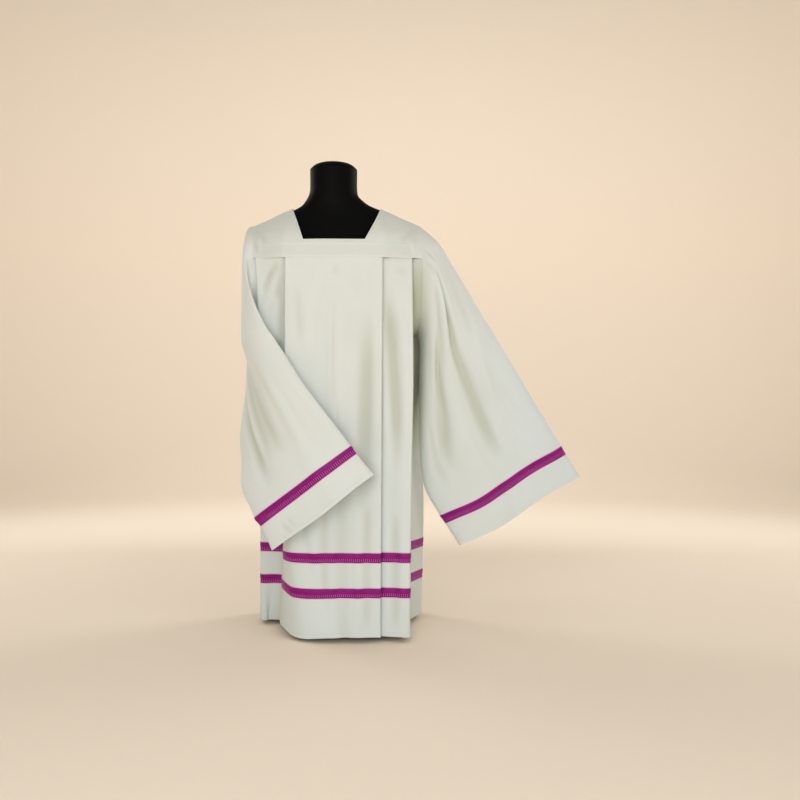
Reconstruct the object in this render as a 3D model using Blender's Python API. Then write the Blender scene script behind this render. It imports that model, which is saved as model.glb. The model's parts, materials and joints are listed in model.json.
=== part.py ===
# A surplice on a limbless dress form, in metres, +Z up, +X to the wearer's left, front towards -Y.
# The origin is the centre of the underside of the stand's base.
# Every cloth piece is a thin wall about a middle surface worked out from sizes and short tables.

import math

import bmesh
import bpy
import numpy as np

# Cloth and sewing
CLOTH = 0.0015
STRIP_CLOTH = 0.0010
SEAM_GAP = 0.0003
LAYER_GAP = 0.0003

# Heights of the garment
HEM_Z = 0.012
BAND_HEIGHT = 0.0255
LOWER_BAND_Z = 0.098
UPPER_BAND_Z = 0.177
ARMPIT_Z = 0.701
WAIST_Z = 0.586
HIP_Z = 0.366
YOKE_Z = 0.871
STRIP_TOP_Z = 0.903
STRIP_LAP = 0.003
NECK_FRONT_Z = 0.910
NECK_BACK_Z = 0.951

# Square neck and shoulders
NECK_HALF_TOP = 0.104
NECK_HALF_BOTTOM = 0.070
# How the neck's slanted sides leave the shoulder, on the wearer's right and left.
NECK_SIDE_POWERS = (1.0, 1.6)
NECK_RIDGE_Z = 0.999
SHOULDER_SLOPE = 0.43
SHOULDER_X = 0.197
PROFILE_FOOT_Z = 0.836
PROFILE_POWER = 2.2
YOKE_FRONT = 0.1250
YOKE_BACK = 0.1275
YOKE_FLAT_TO = 0.115

# Armhole: an oval whose upper part follows the shoulder
ARMHOLE_FRONT = 0.089
ARMHOLE_BACK = 0.095
# Height, distance out on the wearer's left and right.
ARMHOLE_WIDTHS = (
    (0.959, 0.197, 0.195),
    (0.906, 0.198, 0.191),
    (0.846, 0.203, 0.190),
    (0.776, 0.201, 0.189),
    (0.701, 0.192, 0.188),
)
ARMHOLE_ROWS = 7
YOKE_ROWS_ABOVE = 4

# Stand
BASE_RADIUS = 0.105
BASE_THICKNESS = 0.008
POLE_RADIUS = 0.0125
FORM_BOTTOM_Z = 0.346
NECK_OFFSET = -0.009
SEAT_GAP = 0.0004

# Folds of the front panel, from the wearer's right side seam to the left one.
# Columns: the fold's tip (x, y) at the yoke, the waist, the hip and the hem, the distance between its
# two layers above, the same at the hem, and the way that it turns.
FRONT_FOLDS = (
    ((-0.142, -0.0900), (-0.146, -0.070), (-0.164, -0.040), (-0.191, 0.065), 0.005, 0.012, -1),
    ((-0.181, -0.0960), (-0.171, -0.085), (-0.177, -0.052), (-0.187, 0.030), 0.005, 0.014, 1),
    ((-0.070, -0.1150), (-0.080, -0.108), (-0.104, -0.088), (-0.141, 0.027), 0.005, 0.020, -1),
    ((-0.111, -0.1195), (-0.112, -0.122), (-0.110, -0.124), (-0.086, -0.120), 0.005, 0.064, 1),
    ((0.111, -0.1195), (0.109, -0.1280), (0.108, -0.1325), (0.106, -0.1375), 0.005, 0.006, 1),
    ((0.080, -0.1145), (0.082, -0.1150), (0.084, -0.1180), (0.086, -0.1260), 0.005, 0.006, -1),
    ((0.178, -0.0945), (0.180, -0.1080), (0.175, -0.1250), (0.170, -0.1365), 0.005, 0.008, 1),
    ((0.142, -0.0900), (0.144, -0.0800), (0.150, -0.0600), (0.164, -0.0050), 0.005, 0.014, -1),
)
# Folds of the back panel, from the wearer's left side seam to the right one.
BACK_FOLDS = (
    ((0.142, 0.0940), (0.146, 0.096), (0.156, 0.104), (0.172, 0.118), 0.005, 0.010, -1),
    ((0.178, 0.0985), (0.178, 0.112), (0.183, 0.128), (0.192, 0.148), 0.005, 0.010, 1),
    ((0.074, 0.1175), (0.078, 0.120), (0.082, 0.126), (0.090, 0.134), 0.005, 0.006, -1),
    ((0.113, 0.1225), (0.112, 0.128), (0.111, 0.134), (0.110, 0.144), 0.005, 0.007, 1),
    ((-0.113, 0.1225), (-0.112, 0.128), (-0.111, 0.134), (-0.110, 0.144), 0.005, 0.007, 1),
    ((-0.074, 0.1175), (-0.078, 0.120), (-0.082, 0.126), (-0.090, 0.134), 0.005, 0.006, -1),
    ((-0.178, 0.0985), (-0.178, 0.112), (-0.183, 0.128), (-0.190, 0.148), 0.005, 0.010, 1),
    ((-0.142, 0.0945), (-0.146, 0.096), (-0.156, 0.104), (-0.170, 0.118), 0.005, 0.010, -1),
)
# Points between one fold and the next, side seam to side seam: wide stretches have more.
BETWEEN_FOLDS = (2, 0, 3, 0, 8, 0, 3, 0, 2)
# Which of these stretches are the outer layer.
SHOWING_STRETCHES = (2, 4, 6)

# How far a fold's straight sides reach: a share of the distance between its layers, and the least.
FOLD_REACH_SHARE = 1.1
FOLD_REACH_LEAST = 0.005
# The side stretches follow the yoke's curve at the top, out past this distance, and leave it below.
YOKE_HELD_STRETCHES = (2, 6)
YOKE_HOLD_X = 0.117
YOKE_HOLD_END_Z = 0.740
YOKE_HOLD_INSET = 0.0026
YOKE_HOLD_TAPER_X = 0.135
YOKE_HOLD_TAPER = 0.16
# Heights of the panels' rows between the armpit and the upper band.
SKIRT_ROWS = (0.636, 0.546, 0.436, 0.316)

# The side seams below the armpit.
# Columns: height, distance out and depth on the wearer's left, distance out and depth on the right.
SIDE_SEAMS = (
    (0.701, 0.192, 0.000, 0.188, 0.000),
    (0.646, 0.193, 0.014, 0.185, 0.014),
    (0.486, 0.200, 0.042, 0.185, 0.045),
    (0.286, 0.208, 0.076, 0.191, 0.082),
    (0.012, 0.203, 0.104, 0.199, 0.112),
)

# Large soft folds of the centre and side panels.
# Columns: x and z of the upper end, x and z of the lower end, half width, depth (+ is outwards).
FRONT_WAVES = (
    (0.128, 0.786, 0.150, 0.436, 0.014, -0.005),
    (0.000, 0.776, 0.002, 0.466, 0.016, 0.004),
    (0.068, 0.746, 0.050, 0.106, 0.018, -0.005),
    (-0.050, 0.406, -0.048, 0.012, 0.022, 0.005),
    (0.020, 0.386, 0.026, 0.012, 0.020, -0.004),
    (0.055, 0.346, 0.052, 0.012, 0.020, 0.004),
    (-0.124, 0.862, -0.127, 0.766, 0.010, -0.003),
)
BACK_WAVES = (
    (0.070, 0.746, 0.078, 0.086, 0.022, -0.005),
    (-0.010, 0.786, -0.004, 0.406, 0.018, 0.004),
    (-0.062, 0.626, -0.070, 0.012, 0.024, -0.005),
    (0.030, 0.386, 0.034, 0.012, 0.020, 0.004),
    (-0.020, 0.346, -0.026, 0.012, 0.020, 0.005),
)

# The spread sleeve's sections.
# Columns: how far along, the top line's point, the underarm's point, the middle of the front face and
# the middle of the back face.
SPREAD_SLEEVE = (
    (0, (0.197, 0, 0.959), (0.192, 0, 0.701), (0.1945, -0.089, 0.83), (0.1945, 0.095, 0.83)),
    (0.08, (0.238, 0, 0.923), (0.208, -0.004, 0.67), (0.223, -0.084, 0.7965), (0.223, 0.084, 0.7965)),
    (0.16, (0.27, 0, 0.875), (0.204, -0.006, 0.623), (0.2395, -0.071, 0.749), (0.2395, 0.067, 0.749)),
    (0.34, (0.332, 0, 0.772), (0.198, -0.006, 0.529), (0.268, -0.049, 0.6505), (0.268, 0.043, 0.6505)),
    (0.51, (0.3947, 0, 0.669), (0.1975, -0.004, 0.4375), (0.2979, -0.038, 0.5533), (0.2979, 0.034, 0.5533)),
    (0.68, (0.457, 0, 0.565), (0.206, 0, 0.348), (0.3315, -0.031, 0.4565), (0.3315, 0.031, 0.4565)),
    (0.88, (0.535, 0, 0.4362), (0.2445, 0, 0.2705), (0.3898, -0.027, 0.3533), (0.3898, 0.027, 0.3533)),
    (0.915, (0.548, 0, 0.4143), (0.259, 0, 0.2495), (0.4035, -0.026, 0.3319), (0.4035, 0.026, 0.3319)),
    (1, (0.5796, 0, 0.3626), (0.2928, 0, 0.1984), (0.4362, -0.024, 0.2805), (0.4362, 0.024, 0.2805)),
)
# The folded sleeve leaves its armhole in sections that fan about a line just below the armpit.
# Columns: how far along, the section's angle in degrees, its least and greatest distance from that
# line, and how far it reaches backwards and forwards round the body.
FOLDED_FAN = (
    (0.05, 4, 0.030, 0.272, -0.098, 0.098),
    (0.10, 5.8, 0.027, 0.245, -0.098, 0.106),
    (0.15, 7.3, 0.025, 0.195, -0.095, 0.115),
    (0.20, 10, 0.022, 0.142, -0.088, 0.127),
    (0.25, 15, 0.019, 0.096, -0.075, 0.139),
    (0.30, 24, 0.016, 0.062, -0.057, 0.149),
    (0.36, 44, 0.012, 0.036, -0.035, 0.160),
    (0.42, 90, 0.008, 0.024, -0.012, 0.170),
)
FAN_Z = 0.668
FAN_SIDE_X = 0.190
FAN_CORNER_START = 0.068
FAN_CORNER_RADIUS = 0.060
FAN_OPENING = 0.004
FAN_BLEND_END = 0.15
# The folded sleeve's sections past the fan, with the spread sleeve's columns.
FOLDED_SLEEVE = (
    (0.56, (-0.211, -0.022, 0.556), (-0.067, -0.17, 0.586), (-0.17, -0.129, 0.571), (-0.158, -0.114, 0.564)),
    (0.7, (-0.219, -0.07, 0.446), (-0.006, -0.18, 0.506), (-0.128, -0.155, 0.476), (-0.118, -0.134, 0.47)),
    (0.88, (-0.174, -0.15, 0.284), (0.042, -0.187, 0.445), (-0.07, -0.19, 0.364), (-0.064, -0.157, 0.364)),
    (0.915, (-0.158, -0.158, 0.263), (0.056, -0.189, 0.426),
     (-0.054, -0.194, 0.344), (-0.049, -0.161, 0.344)),
    (1, (-0.131, -0.172, 0.214), (0.093, -0.193, 0.3816), (-0.021, -0.202, 0.298), (-0.017, -0.167, 0.298)),
)
# How far along a sleeve has left the armhole's own shape, and how full and how bent its sections are.
SLEEVE_BLEND_END = 0.40
SECTION_FULLNESS = 0.7
SECTION_BEND = 1.5
# Long troughs of the sleeves' outer faces.
# Columns: place across (0 top line, 1 underarm) and along where it starts, the same where it ends,
# half width across, depth.
SPREAD_TROUGHS = (
    (0.46, 0.10, 0.24, 0.90, 0.055, 0.012),
    (0.74, 0.14, 0.86, 0.72, 0.060, 0.012),
    (0.10, 0.30, 0.52, 1.00, 0.060, -0.006),
)
FOLDED_TROUGHS = (
    (0.30, 0.34, 0.44, 0.80, 0.070, 0.008),
    (0.06, 0.46, 0.30, 0.86, 0.060, 0.007),
    (0.70, 0.40, 0.66, 1.00, 0.080, -0.005),
)

# Shares of a wave's and a trough's length over which it fades in and out.
WAVE_FADE = 0.25
TROUGH_FADE = 0.3

# Sections of the dress form. Columns: height, half width, front depth, back depth.
FORM_BODY = (
    (0.346, 0.142, 0.086, 0.094),
    (0.371, 0.148, 0.090, 0.100),
    (0.436, 0.150, 0.091, 0.102),
    (0.536, 0.142, 0.087, 0.090),
    (0.636, 0.150, 0.092, 0.092),
    (0.736, 0.158, 0.099, 0.097),
    (0.806, 0.165, 0.103, 0.100),
    (0.856, 0.172, 0.103, 0.101),
    (0.896, 0.177, 0.101, 0.099),
    (0.926, 0.177, 0.095, 0.094),
    (0.951, 0.171, 0.080, 0.080),
)
# The shoulder's sections follow the yoke's slope. Columns: half width, front depth, back depth.
FORM_SHOULDER = (
    (0.160, 0.062, 0.062),
    (0.132, 0.056, 0.056),
    (0.104, 0.053, 0.053),
)
FORM_NECK = (
    (1.007, 0.084, 0.053, 0.053),
    (1.017, 0.072, 0.054, 0.054),
    (1.031, 0.0605, 0.055, 0.054),
    (1.046, 0.0565, 0.055, 0.055),
    (1.094, 0.0562, 0.0555, 0.0555),
)
# The neck cap. Columns: height, radius.
CAP = (
    (1.0944, 0.0562),
    (1.0965, 0.0556),
    (1.1042, 0.0470),
    (1.1085, 0.0360),
    (1.1108, 0.0180),
)
FORM_SIDES = 28
FORM_POWER = 2.2
CAP_FLATNESS = 0.985

IVORY = (0.71, 0.73, 0.64)
MAGENTA = (0.32, 0.02, 0.24)
CLOTH_ROUGHNESS = 0.85
BAND_ROUGHNESS = 0.5


def smooth(rows, at):
    """Values of a table at one place, on a cubic through its rows. A row is (place, values...)."""
    places = [row[0] for row in rows]
    values = np.array([np.hstack(row[1:]) for row in rows], float)
    if places[0] > places[-1]:
        places = places[::-1]
        values = values[::-1]
    last = len(places) - 1
    at = min(max(at, places[0]), places[last])
    i = min(max(np.searchsorted(places, at, side="right") - 1, 0), last - 1)

    def slope(k):
        low = max(k - 1, 0)
        high = min(k + 1, last)
        return (values[high] - values[low]) / (places[high] - places[low])

    step = places[i + 1] - places[i]
    t = (at - places[i]) / step
    stay = 2 * t**3 - 3 * t**2 + 1
    leave = t**3 - 2 * t**2 + t
    arrive = t**3 - t**2
    return stay * values[i] + (1 - stay) * values[i + 1] + step * (leave * slope(i) + arrive * slope(i + 1))


def unit(v):
    return v / max(np.linalg.norm(v), 1e-9)


def turned_left(v):
    return np.array((-v[1], v[0]))


def grid_normals(points, closed):
    """Outward directions of a grid. Columns run left to right and rows downwards, seen from outside."""
    if closed:
        across = np.roll(points, -1, axis=1) - np.roll(points, 1, axis=1)
    else:
        across = np.gradient(points, axis=1)
    down = np.gradient(points, axis=0)
    normals = np.cross(down, across)
    return normals / np.maximum(np.linalg.norm(normals, axis=2, keepdims=True), 1e-9)


# Shoulder and yoke


def ridge_z(x):
    return NECK_RIDGE_Z - SHOULDER_SLOPE * (abs(x) - NECK_HALF_TOP)


def yoke_depth(x, side):
    """How far the yoke's lower edge stands forward or back of the shoulder line."""
    drop = max(abs(x) - YOKE_FLAT_TO, 0.0) / (SHOULDER_X - YOKE_FLAT_TO)
    full = YOKE_FRONT if side < 0 else YOKE_BACK
    end = ARMHOLE_FRONT if side < 0 else ARMHOLE_BACK
    return full - (full - end) * drop**1.15


def shoulder_point(x, z, side):
    """A point of the garment's surface above the profile's foot, at a place across and a height."""
    rise = ridge_z(x) - PROFILE_FOOT_Z
    part = min(max((z - PROFILE_FOOT_Z) / rise, 0.0), 1.0)
    out = (1 - part**PROFILE_POWER) ** (1 / PROFILE_POWER)
    return np.array((x, side * yoke_depth(x, side) * out, z))


def spaced_heights(x, low, rows):
    """Heights from the shoulder line down to low, closer together near the shoulder line."""
    rise = ridge_z(x) - PROFILE_FOOT_Z
    last = math.acos(min(((low - PROFILE_FOOT_Z) / rise) ** (PROFILE_POWER / 2), 1.0))
    angles = [last * (i / rows) ** 1.5 for i in range(rows + 1)]
    return [PROFILE_FOOT_Z + rise * math.cos(a) ** (2 / PROFILE_POWER) for a in angles]


def armhole_x(z, side):
    """How far out the armhole is: the left one swells a little below the shoulder."""
    left, right = smooth(ARMHOLE_WIDTHS, z)
    return left if side > 0 else right


def armhole_heights():
    """Heights of the panels' rows from the yoke down to the armpit, evenly spaced round the armhole."""
    drop = PROFILE_FOOT_Z - ARMPIT_Z
    first = math.asin((YOKE_Z - PROFILE_FOOT_Z) / drop)
    angles = [-first + (math.pi / 2 + first) * i / ARMHOLE_ROWS for i in range(ARMHOLE_ROWS + 1)]
    return [PROFILE_FOOT_Z - drop * math.sin(a) for a in angles]


def side_end(z, side, face):
    """Where a panel ends at one height: on the armhole above the armpit, on the side seam below.
    side is +1 on the wearer's left, face is -1 for the front panel and +1 for the back one."""
    if z > PROFILE_FOOT_Z:
        x = armhole_x(z, side)
        return np.array((side * x, shoulder_point(x, z, face)[1]))
    if z >= ARMPIT_Z:
        depth = ARMHOLE_FRONT if face < 0 else ARMHOLE_BACK
        part = min((PROFILE_FOOT_Z - z) / (PROFILE_FOOT_Z - ARMPIT_Z), 1.0)
        top = shoulder_point(armhole_x(PROFILE_FOOT_Z, side), PROFILE_FOOT_Z, face)[1]
        return np.array((side * armhole_x(z, side), top * math.sqrt(1 - part**2)))
    left_x, left_y, right_x, right_y = smooth(SIDE_SEAMS, z)
    if side > 0:
        return np.array((left_x, left_y))
    return np.array((-right_x, right_y))


def neck_half(share):
    return NECK_HALF_TOP + (NECK_HALF_BOTTOM - NECK_HALF_TOP) * share


def yoke_columns():
    """Columns across the yoke as (group, share): a shoulder, the stretch below the neck, a shoulder."""
    shoulder, middle = 5, 6
    columns = [("right", i / shoulder) for i in range(shoulder + 1)]
    columns += [("middle", i / middle) for i in range(1, middle)]
    columns += [("left", i / shoulder) for i in range(shoulder + 1)]
    return columns


def yoke_grid(side, neck_z):
    """The yoke's middle surface, and the cells that the square neck leaves out."""
    columns = yoke_columns()
    below = [STRIP_TOP_Z, (STRIP_TOP_Z + YOKE_Z) / 2, YOKE_Z + 2 * SEAM_GAP]
    rows = YOKE_ROWS_ABOVE + len(below)
    outer_heights = spaced_heights(SHOULDER_X, neck_z, YOKE_ROWS_ABOVE) + below
    grid = np.zeros((rows + 1, len(columns), 3))
    neck_heights = spaced_heights(NECK_HALF_TOP, neck_z, YOKE_ROWS_ABOVE)
    for r, outer_z in enumerate(outer_heights):
        down = (neck_heights[0] - neck_heights[min(r, YOKE_ROWS_ABOVE)]) / (neck_heights[0] - neck_z)
        right, left = (neck_half(down**power) for power in NECK_SIDE_POWERS)
        for c, (group, share) in enumerate(columns):
            if group == "right":
                outer = armhole_x(outer_z, -1)
                x = -outer + (outer - right) * share
            elif group == "left":
                outer = armhole_x(outer_z, 1)
                x = left + (outer - left) * share
            else:
                x = -right + (left + right) * share
            if r <= YOKE_ROWS_ABOVE:
                z = spaced_heights(x, neck_z, YOKE_ROWS_ABOVE)[r]
            else:
                z = below[r - YOKE_ROWS_ABOVE - 1]
            grid[r, c] = shoulder_point(x, z, side)
    groups = [group for group, _ in columns]
    first = groups.index("middle") - 1
    last = groups.index("left")
    holes = {(r, c) for r in range(YOKE_ROWS_ABOVE) for c in range(first, last)}
    return grid, holes


# Pleated panels


def panel_rows():
    """Heights of a body panel's rows, from the yoke to the hem, and where each piece starts and ends."""
    heights = armhole_heights() + list(SKIRT_ROWS)
    marks = [0, len(heights)]
    heights += [UPPER_BAND_Z + BAND_HEIGHT, UPPER_BAND_Z, LOWER_BAND_Z + BAND_HEIGHT, LOWER_BAND_Z, HEM_Z]
    marks += [marks[1] + 1, marks[1] + 2, marks[1] + 3, marks[1] + 4]
    return heights, marks


def held_by_yoke(point, z, face):
    """A point of a side stretch, drawn out to the yoke's curve near the top."""
    x, y = point
    hold = min(max((z - YOKE_HOLD_END_Z) / (YOKE_Z - YOKE_HOLD_END_Z), 0.0), 1.0)
    if abs(x) < YOKE_HOLD_X or hold == 0.0:
        return point
    inset = YOKE_HOLD_INSET + YOKE_HOLD_TAPER * max(abs(x) - YOKE_HOLD_TAPER_X, 0.0)
    yoke_y = shoulder_point(x, YOKE_Z, face)[1] - face * inset
    return np.array((x, y + (yoke_y - y) * hold * hold * (3 - 2 * hold)))


def fold_outline(folds, z, face):
    """Guide points of one panel's path at one height, from one side end to the other."""
    start_side = -1 if face < 0 else 1
    start = side_end(z, start_side, face)
    stop = side_end(z, -start_side, face)
    tips = []
    for yoke, waist, hip, hem, gap, hem_gap, turn in folds:
        rows = ((YOKE_Z, yoke, gap), (WAIST_Z, waist, gap), (HIP_Z, hip, gap), (HEM_Z, hem, hem_gap))
        x, y, gap = smooth(rows, z)
        tips.append((np.array((x, y)), gap, turn))
    stops = [start] + [tip[0] for tip in tips] + [stop]
    points = [start]
    for i, (tip, gap, turn) in enumerate(tips):
        come = unit(tip - stops[i])
        go = unit(stops[i + 2] - tip)
        along = unit(come + go + 0.5 * turn * turned_left(come - go))
        reach = max(FOLD_REACH_SHARE * gap, FOLD_REACH_LEAST)
        enter = tip - along * gap / 2
        leave = tip + along * gap / 2
        between = BETWEEN_FOLDS[i]
        before = enter - come * reach
        for k in range(1, between + 1):
            points.append(points[-1] + (before - points[-1]) / (between + 2 - k))
        if i in YOKE_HELD_STRETCHES:
            points[-between:] = [held_by_yoke(point, z, face) for point in points[-between:]]
        points += [before, enter, leave, leave + go * reach]
    between = BETWEEN_FOLDS[-1]
    for k in range(1, between + 1):
        points.append(points[-1] + (stop - points[-1]) / (between + 2 - k))
    points.append(stop)
    return np.array(points)


def rounded(points):
    """A path eased at its inner points, so that each fold is round."""
    eased = points.copy()
    eased[1:-1] = (points[:-2] + 4 * points[1:-1] + points[2:]) / 6
    return eased


def wave_depth(waves, x, z):
    """How far the large soft folds move the cloth outwards at one place."""
    depth = 0.0
    for x_high, z_high, x_low, z_low, half, height in waves:
        share = (z_high - z) / (z_high - z_low)
        if not 0 < share <= 1:
            continue
        fade = min(share / WAVE_FADE, 1.0)
        if z_low > HEM_Z:
            fade = min(fade, (1 - share) / WAVE_FADE)
        middle = x_high + (x_low - x_high) * share
        depth += height * math.sin(fade * math.pi / 2) ** 2 * math.exp(-(((x - middle) / half) ** 2))
    return depth


def panel_grid(folds, waves, face):
    """The middle surface of a whole body panel, from the yoke to the hem."""
    heights, _ = panel_rows()
    grid = []
    for z in heights:
        path = rounded(fold_outline(folds, z, face))
        row = []
        for k, (x, y) in enumerate(path):
            outer = 0 < k < len(path) - 1 and on_outer_layer(k)
            lift = wave_depth(waves, x, z) if outer else 0.0
            row.append((x, y + face * lift, z))
        grid.append(row)
    return np.array(grid)


def on_outer_layer(k):
    """Whether a point of the path is on a stretch that shows: the centre or a side stretch."""
    start = 1
    for i, between in enumerate(BETWEEN_FOLDS):
        if start <= k < start + between:
            return i in SHOWING_STRETCHES
        start += between + 4
    return False


# Sleeves


def armhole_ring(front_yoke, back_yoke, front_panel, back_panel, side):
    """The armhole's points in order: from the shoulder down the front to the armpit and up the back."""
    front_column = 0 if side < 0 else -1
    back_column = -1 - front_column
    ring = [front_yoke[r, front_column] for r in range(len(front_yoke) - 1)]
    ring += [front_panel[r, front_column] for r in range(ARMHOLE_ROWS + 1)]
    ring += [back_panel[r, back_column] for r in range(ARMHOLE_ROWS - 1, -1, -1)]
    ring += [back_yoke[r, front_column] for r in range(len(back_yoke) - 2, 0, -1)]
    return np.array(ring)


def sleeve_places(marks):
    """Places along a sleeve for its rings, and where its cloth, band and cuff start and end."""
    places = []
    for low, high in zip(marks[:-3], marks[1:-2]):
        places += [low, (low + high) / 2]
    ends = [0, len(places), len(places) + 1, len(places) + 3]
    places += [marks[-3], marks[-2], (marks[-2] + marks[-1]) / 2, marks[-1]]
    return places, ends


def trough_depth(troughs, across, along):
    depth = 0.0
    for across_from, along_from, across_to, along_to, half, deep in troughs:
        share = (along - along_from) / (along_to - along_from)
        if not 0 < share <= 1:
            continue
        fade = min(share / TROUGH_FADE, 1.0)
        if along_to < 1:
            fade = min(fade, (1 - share) / TROUGH_FADE)
        middle = across_from + (across_to - across_from) * share
        depth -= deep * math.sin(fade * math.pi / 2) ** 2 * math.exp(-(((across - middle) / half) ** 2))
    return depth


def lens_ring(values, ring, blend):
    """A flattened section between a top and an underarm point, blended from the armhole's own shape."""
    count = len(ring)
    chord = ring[count // 2] - ring[0]
    top, under, front, back = values.reshape(4, 3)
    points = []
    for j, own in enumerate(ring):
        angle = 2 * math.pi * j / count
        own_across = np.dot(own - ring[0], chord) / np.dot(chord, chord)
        own_shape = abs(own[1]) / (ARMHOLE_FRONT if own[1] < 0 else ARMHOLE_BACK)
        own_side = own[0] - (ring[0][0] + own_across * chord[0])
        across = own_across + ((1 - math.cos(angle)) / 2 - own_across) * blend
        shape = own_shape + (abs(math.sin(angle)) ** SECTION_FULLNESS - own_shape) * blend
        bent = own_shape + (abs(math.sin(angle)) ** SECTION_BEND - own_shape) * blend
        apart = (front - back) / 2 * (1 if j <= count // 2 else -1)
        middle = (front + back - top - under) / 2
        point = top + (under - top) * across + middle * bent + apart * shape
        point[0] += own_side * (1 - blend)
        points.append(point)
    return np.array(points)


def beside_body(around, off, z):
    """A point at a distance round the body from its right side, a distance off it, and a height."""
    if around <= FAN_CORNER_START:
        return np.array((-FAN_SIDE_X - off, -around, z))
    turn = min((around - FAN_CORNER_START) / FAN_CORNER_RADIUS, math.pi / 2)
    past = around - FAN_CORNER_START - FAN_CORNER_RADIUS * turn
    reach = FAN_CORNER_RADIUS + off
    x = FAN_CORNER_RADIUS - FAN_SIDE_X - reach * math.cos(turn) + past
    return np.array((x, -FAN_CORNER_START - reach * math.sin(turn), z))


def fan_ring(row, ring):
    """A section of the folded sleeve beside the body, turned about the fan's line."""
    along, angle, low, high, back, front = row
    angle = math.radians(angle)
    twist = math.pi / 2 * along / FOLDED_FAN[-1][0]
    share = min(along / FAN_BLEND_END, 1.0)
    blend = share * share * (3 - 2 * share)
    points = []
    for j, own in enumerate(ring):
        place = 2 * math.pi * j / len(ring) - twist
        around = (front + back) / 2 + (front - back) / 2 * math.sin(place)
        out = (low + high) / 2 + (high - low) / 2 * math.cos(place)
        around = -own[1] + (around + own[1]) * blend
        out = own[2] - FAN_Z + (out - own[2] + FAN_Z) * blend
        opening = FAN_OPENING * blend * max(math.sin(place + twist / 2), 0.0)
        off = out * math.sin(angle) + opening * math.cos(angle)
        points.append(beside_body(around, off, FAN_Z + out * math.cos(angle)))
    return np.array(points)


def sleeve_grid(side, ring):
    """The middle surface of a whole sleeve and its outward directions. Its first ring is the armhole."""
    if side > 0:
        places, _ = sleeve_places([row[0] for row in SPREAD_SLEEVE])
        rings = []
        for along in places:
            share = min(along / SLEEVE_BLEND_END, 1.0)
            rings.append(lens_ring(smooth(SPREAD_SLEEVE, along), ring, share * share * (3 - 2 * share)))
        troughs = SPREAD_TROUGHS
    else:
        keys = [(0.0, ring.ravel())]
        keys += [(row[0], fan_ring(row, ring).ravel()) for row in FOLDED_FAN]
        keys += [(row[0], lens_ring(np.hstack(row[1:]), ring, 1.0).ravel()) for row in FOLDED_SLEEVE]
        places, _ = sleeve_places(folded_marks())
        rings = [smooth(keys, along).reshape(-1, 3) for along in places]
        troughs = FOLDED_TROUGHS
    grid = np.array(rings)
    grid[0] = ring
    normals = -side * grid_normals(grid, True)
    count = len(ring)
    for r, along in enumerate(places):
        for j in range(1, count // 2):
            angle = 2 * math.pi * j / count
            depth = trough_depth(troughs, (1 - math.cos(angle)) / 2, along)
            grid[r, j] += normals[r, j] * depth * math.sin(angle)
    return grid, -side * grid_normals(grid, True)


def folded_marks():
    return [0.0, 0.10, 0.20, 0.30, 0.42] + [row[0] for row in FOLDED_SLEEVE]


# Seams and walls


def part_rows(grid, normals, first, last):
    """A copy of some rows, its ends drawn back so that a seam's width is left to the next piece."""
    points = grid[first : last + 1].copy()
    if first > 0:
        points[0] += SEAM_GAP / 2 * step_directions(points[1] - points[0])
    if last < len(grid) - 1:
        points[-1] += SEAM_GAP / 2 * step_directions(points[-2] - points[-1])
    return points, normals[first : last + 1]


def step_directions(steps):
    return steps / np.maximum(np.linalg.norm(steps, axis=-1, keepdims=True), 1e-9)


def part_edges(edges, width):
    """Draws back the edges that meet at a seam. Each edge is (points, normals, inside points), the
    arrays being views, and all its rims are given the same direction so that they lie parallel."""
    mean = step_directions(sum(normals for _, normals, _ in edges))
    for points, normals, inside in edges:
        inward = inside - points
        inward = inward - (inward * mean).sum(axis=-1, keepdims=True) * mean
        normals[...] = mean
        points += width / 2 * step_directions(inward)


def best_halves(corners, normals):
    """The two triangles of a cell that lie best along its corners' outward directions."""
    best = None
    for halves in (((0, 1, 2), (0, 2, 3)), ((0, 1, 3), (1, 2, 3))):
        facing = []
        for a, b, c in halves:
            flat = unit(np.cross(corners[b] - corners[a], corners[c] - corners[a]))
            facing.append(min(np.dot(flat, normals[k]) for k in (a, b, c)))
        score = round(min(facing), 2)
        if best is None or score > best[0]:
            best = (score, halves)
    return best[1]


def wall_mesh(name, points, normals, thickness, closed=False, holes=()):
    """A closed wall of one thickness about a grid of points."""
    rows, columns = points.shape[:2]
    outer = (points + normals * thickness / 2).reshape(-1, 3)
    inner = (points - normals * thickness / 2).reshape(-1, 3)
    mesh = bmesh.new()
    sheet = rows * columns
    corners = [mesh.verts.new(p) for p in np.vstack((outer, inner))]
    wide = columns if closed else columns - 1
    cells = [(r, c) for r in range(rows - 1) for c in range(wide) if (r, c) not in holes]
    kept = set(cells)

    def at(r, c, face):
        return corners[face * sheet + r * columns + c % columns]

    for r, c in cells:
        ring = ((r, c), (r + 1, c), (r + 1, c + 1), (r, c + 1))
        places = [(i, j % columns) for i, j in ring]
        halves = best_halves([points[place] for place in places], [normals[place] for place in places])
        for half in halves:
            mesh.faces.new([at(*ring[k], 0) for k in half])
            mesh.faces.new([at(*ring[k], 1) for k in reversed(half)])
        beside = ((r, c - 1), (r + 1, c), (r, c + 1), (r - 1, c))
        for k, (i, j) in enumerate(beside):
            j = j % columns if closed else j
            if (i, j) in kept:
                continue
            a, b = ring[k], ring[(k + 1) % 4]
            mesh.faces.new((at(*b, 0), at(*a, 0), at(*a, 1), at(*b, 1)))
    bmesh.ops.delete(mesh, geom=[v for v in mesh.verts if not v.link_faces], context="VERTS")
    bmesh.ops.triangulate(mesh, faces=mesh.faces[:], quad_method="SHORT_EDGE")
    return finish_mesh(name, mesh)


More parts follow.
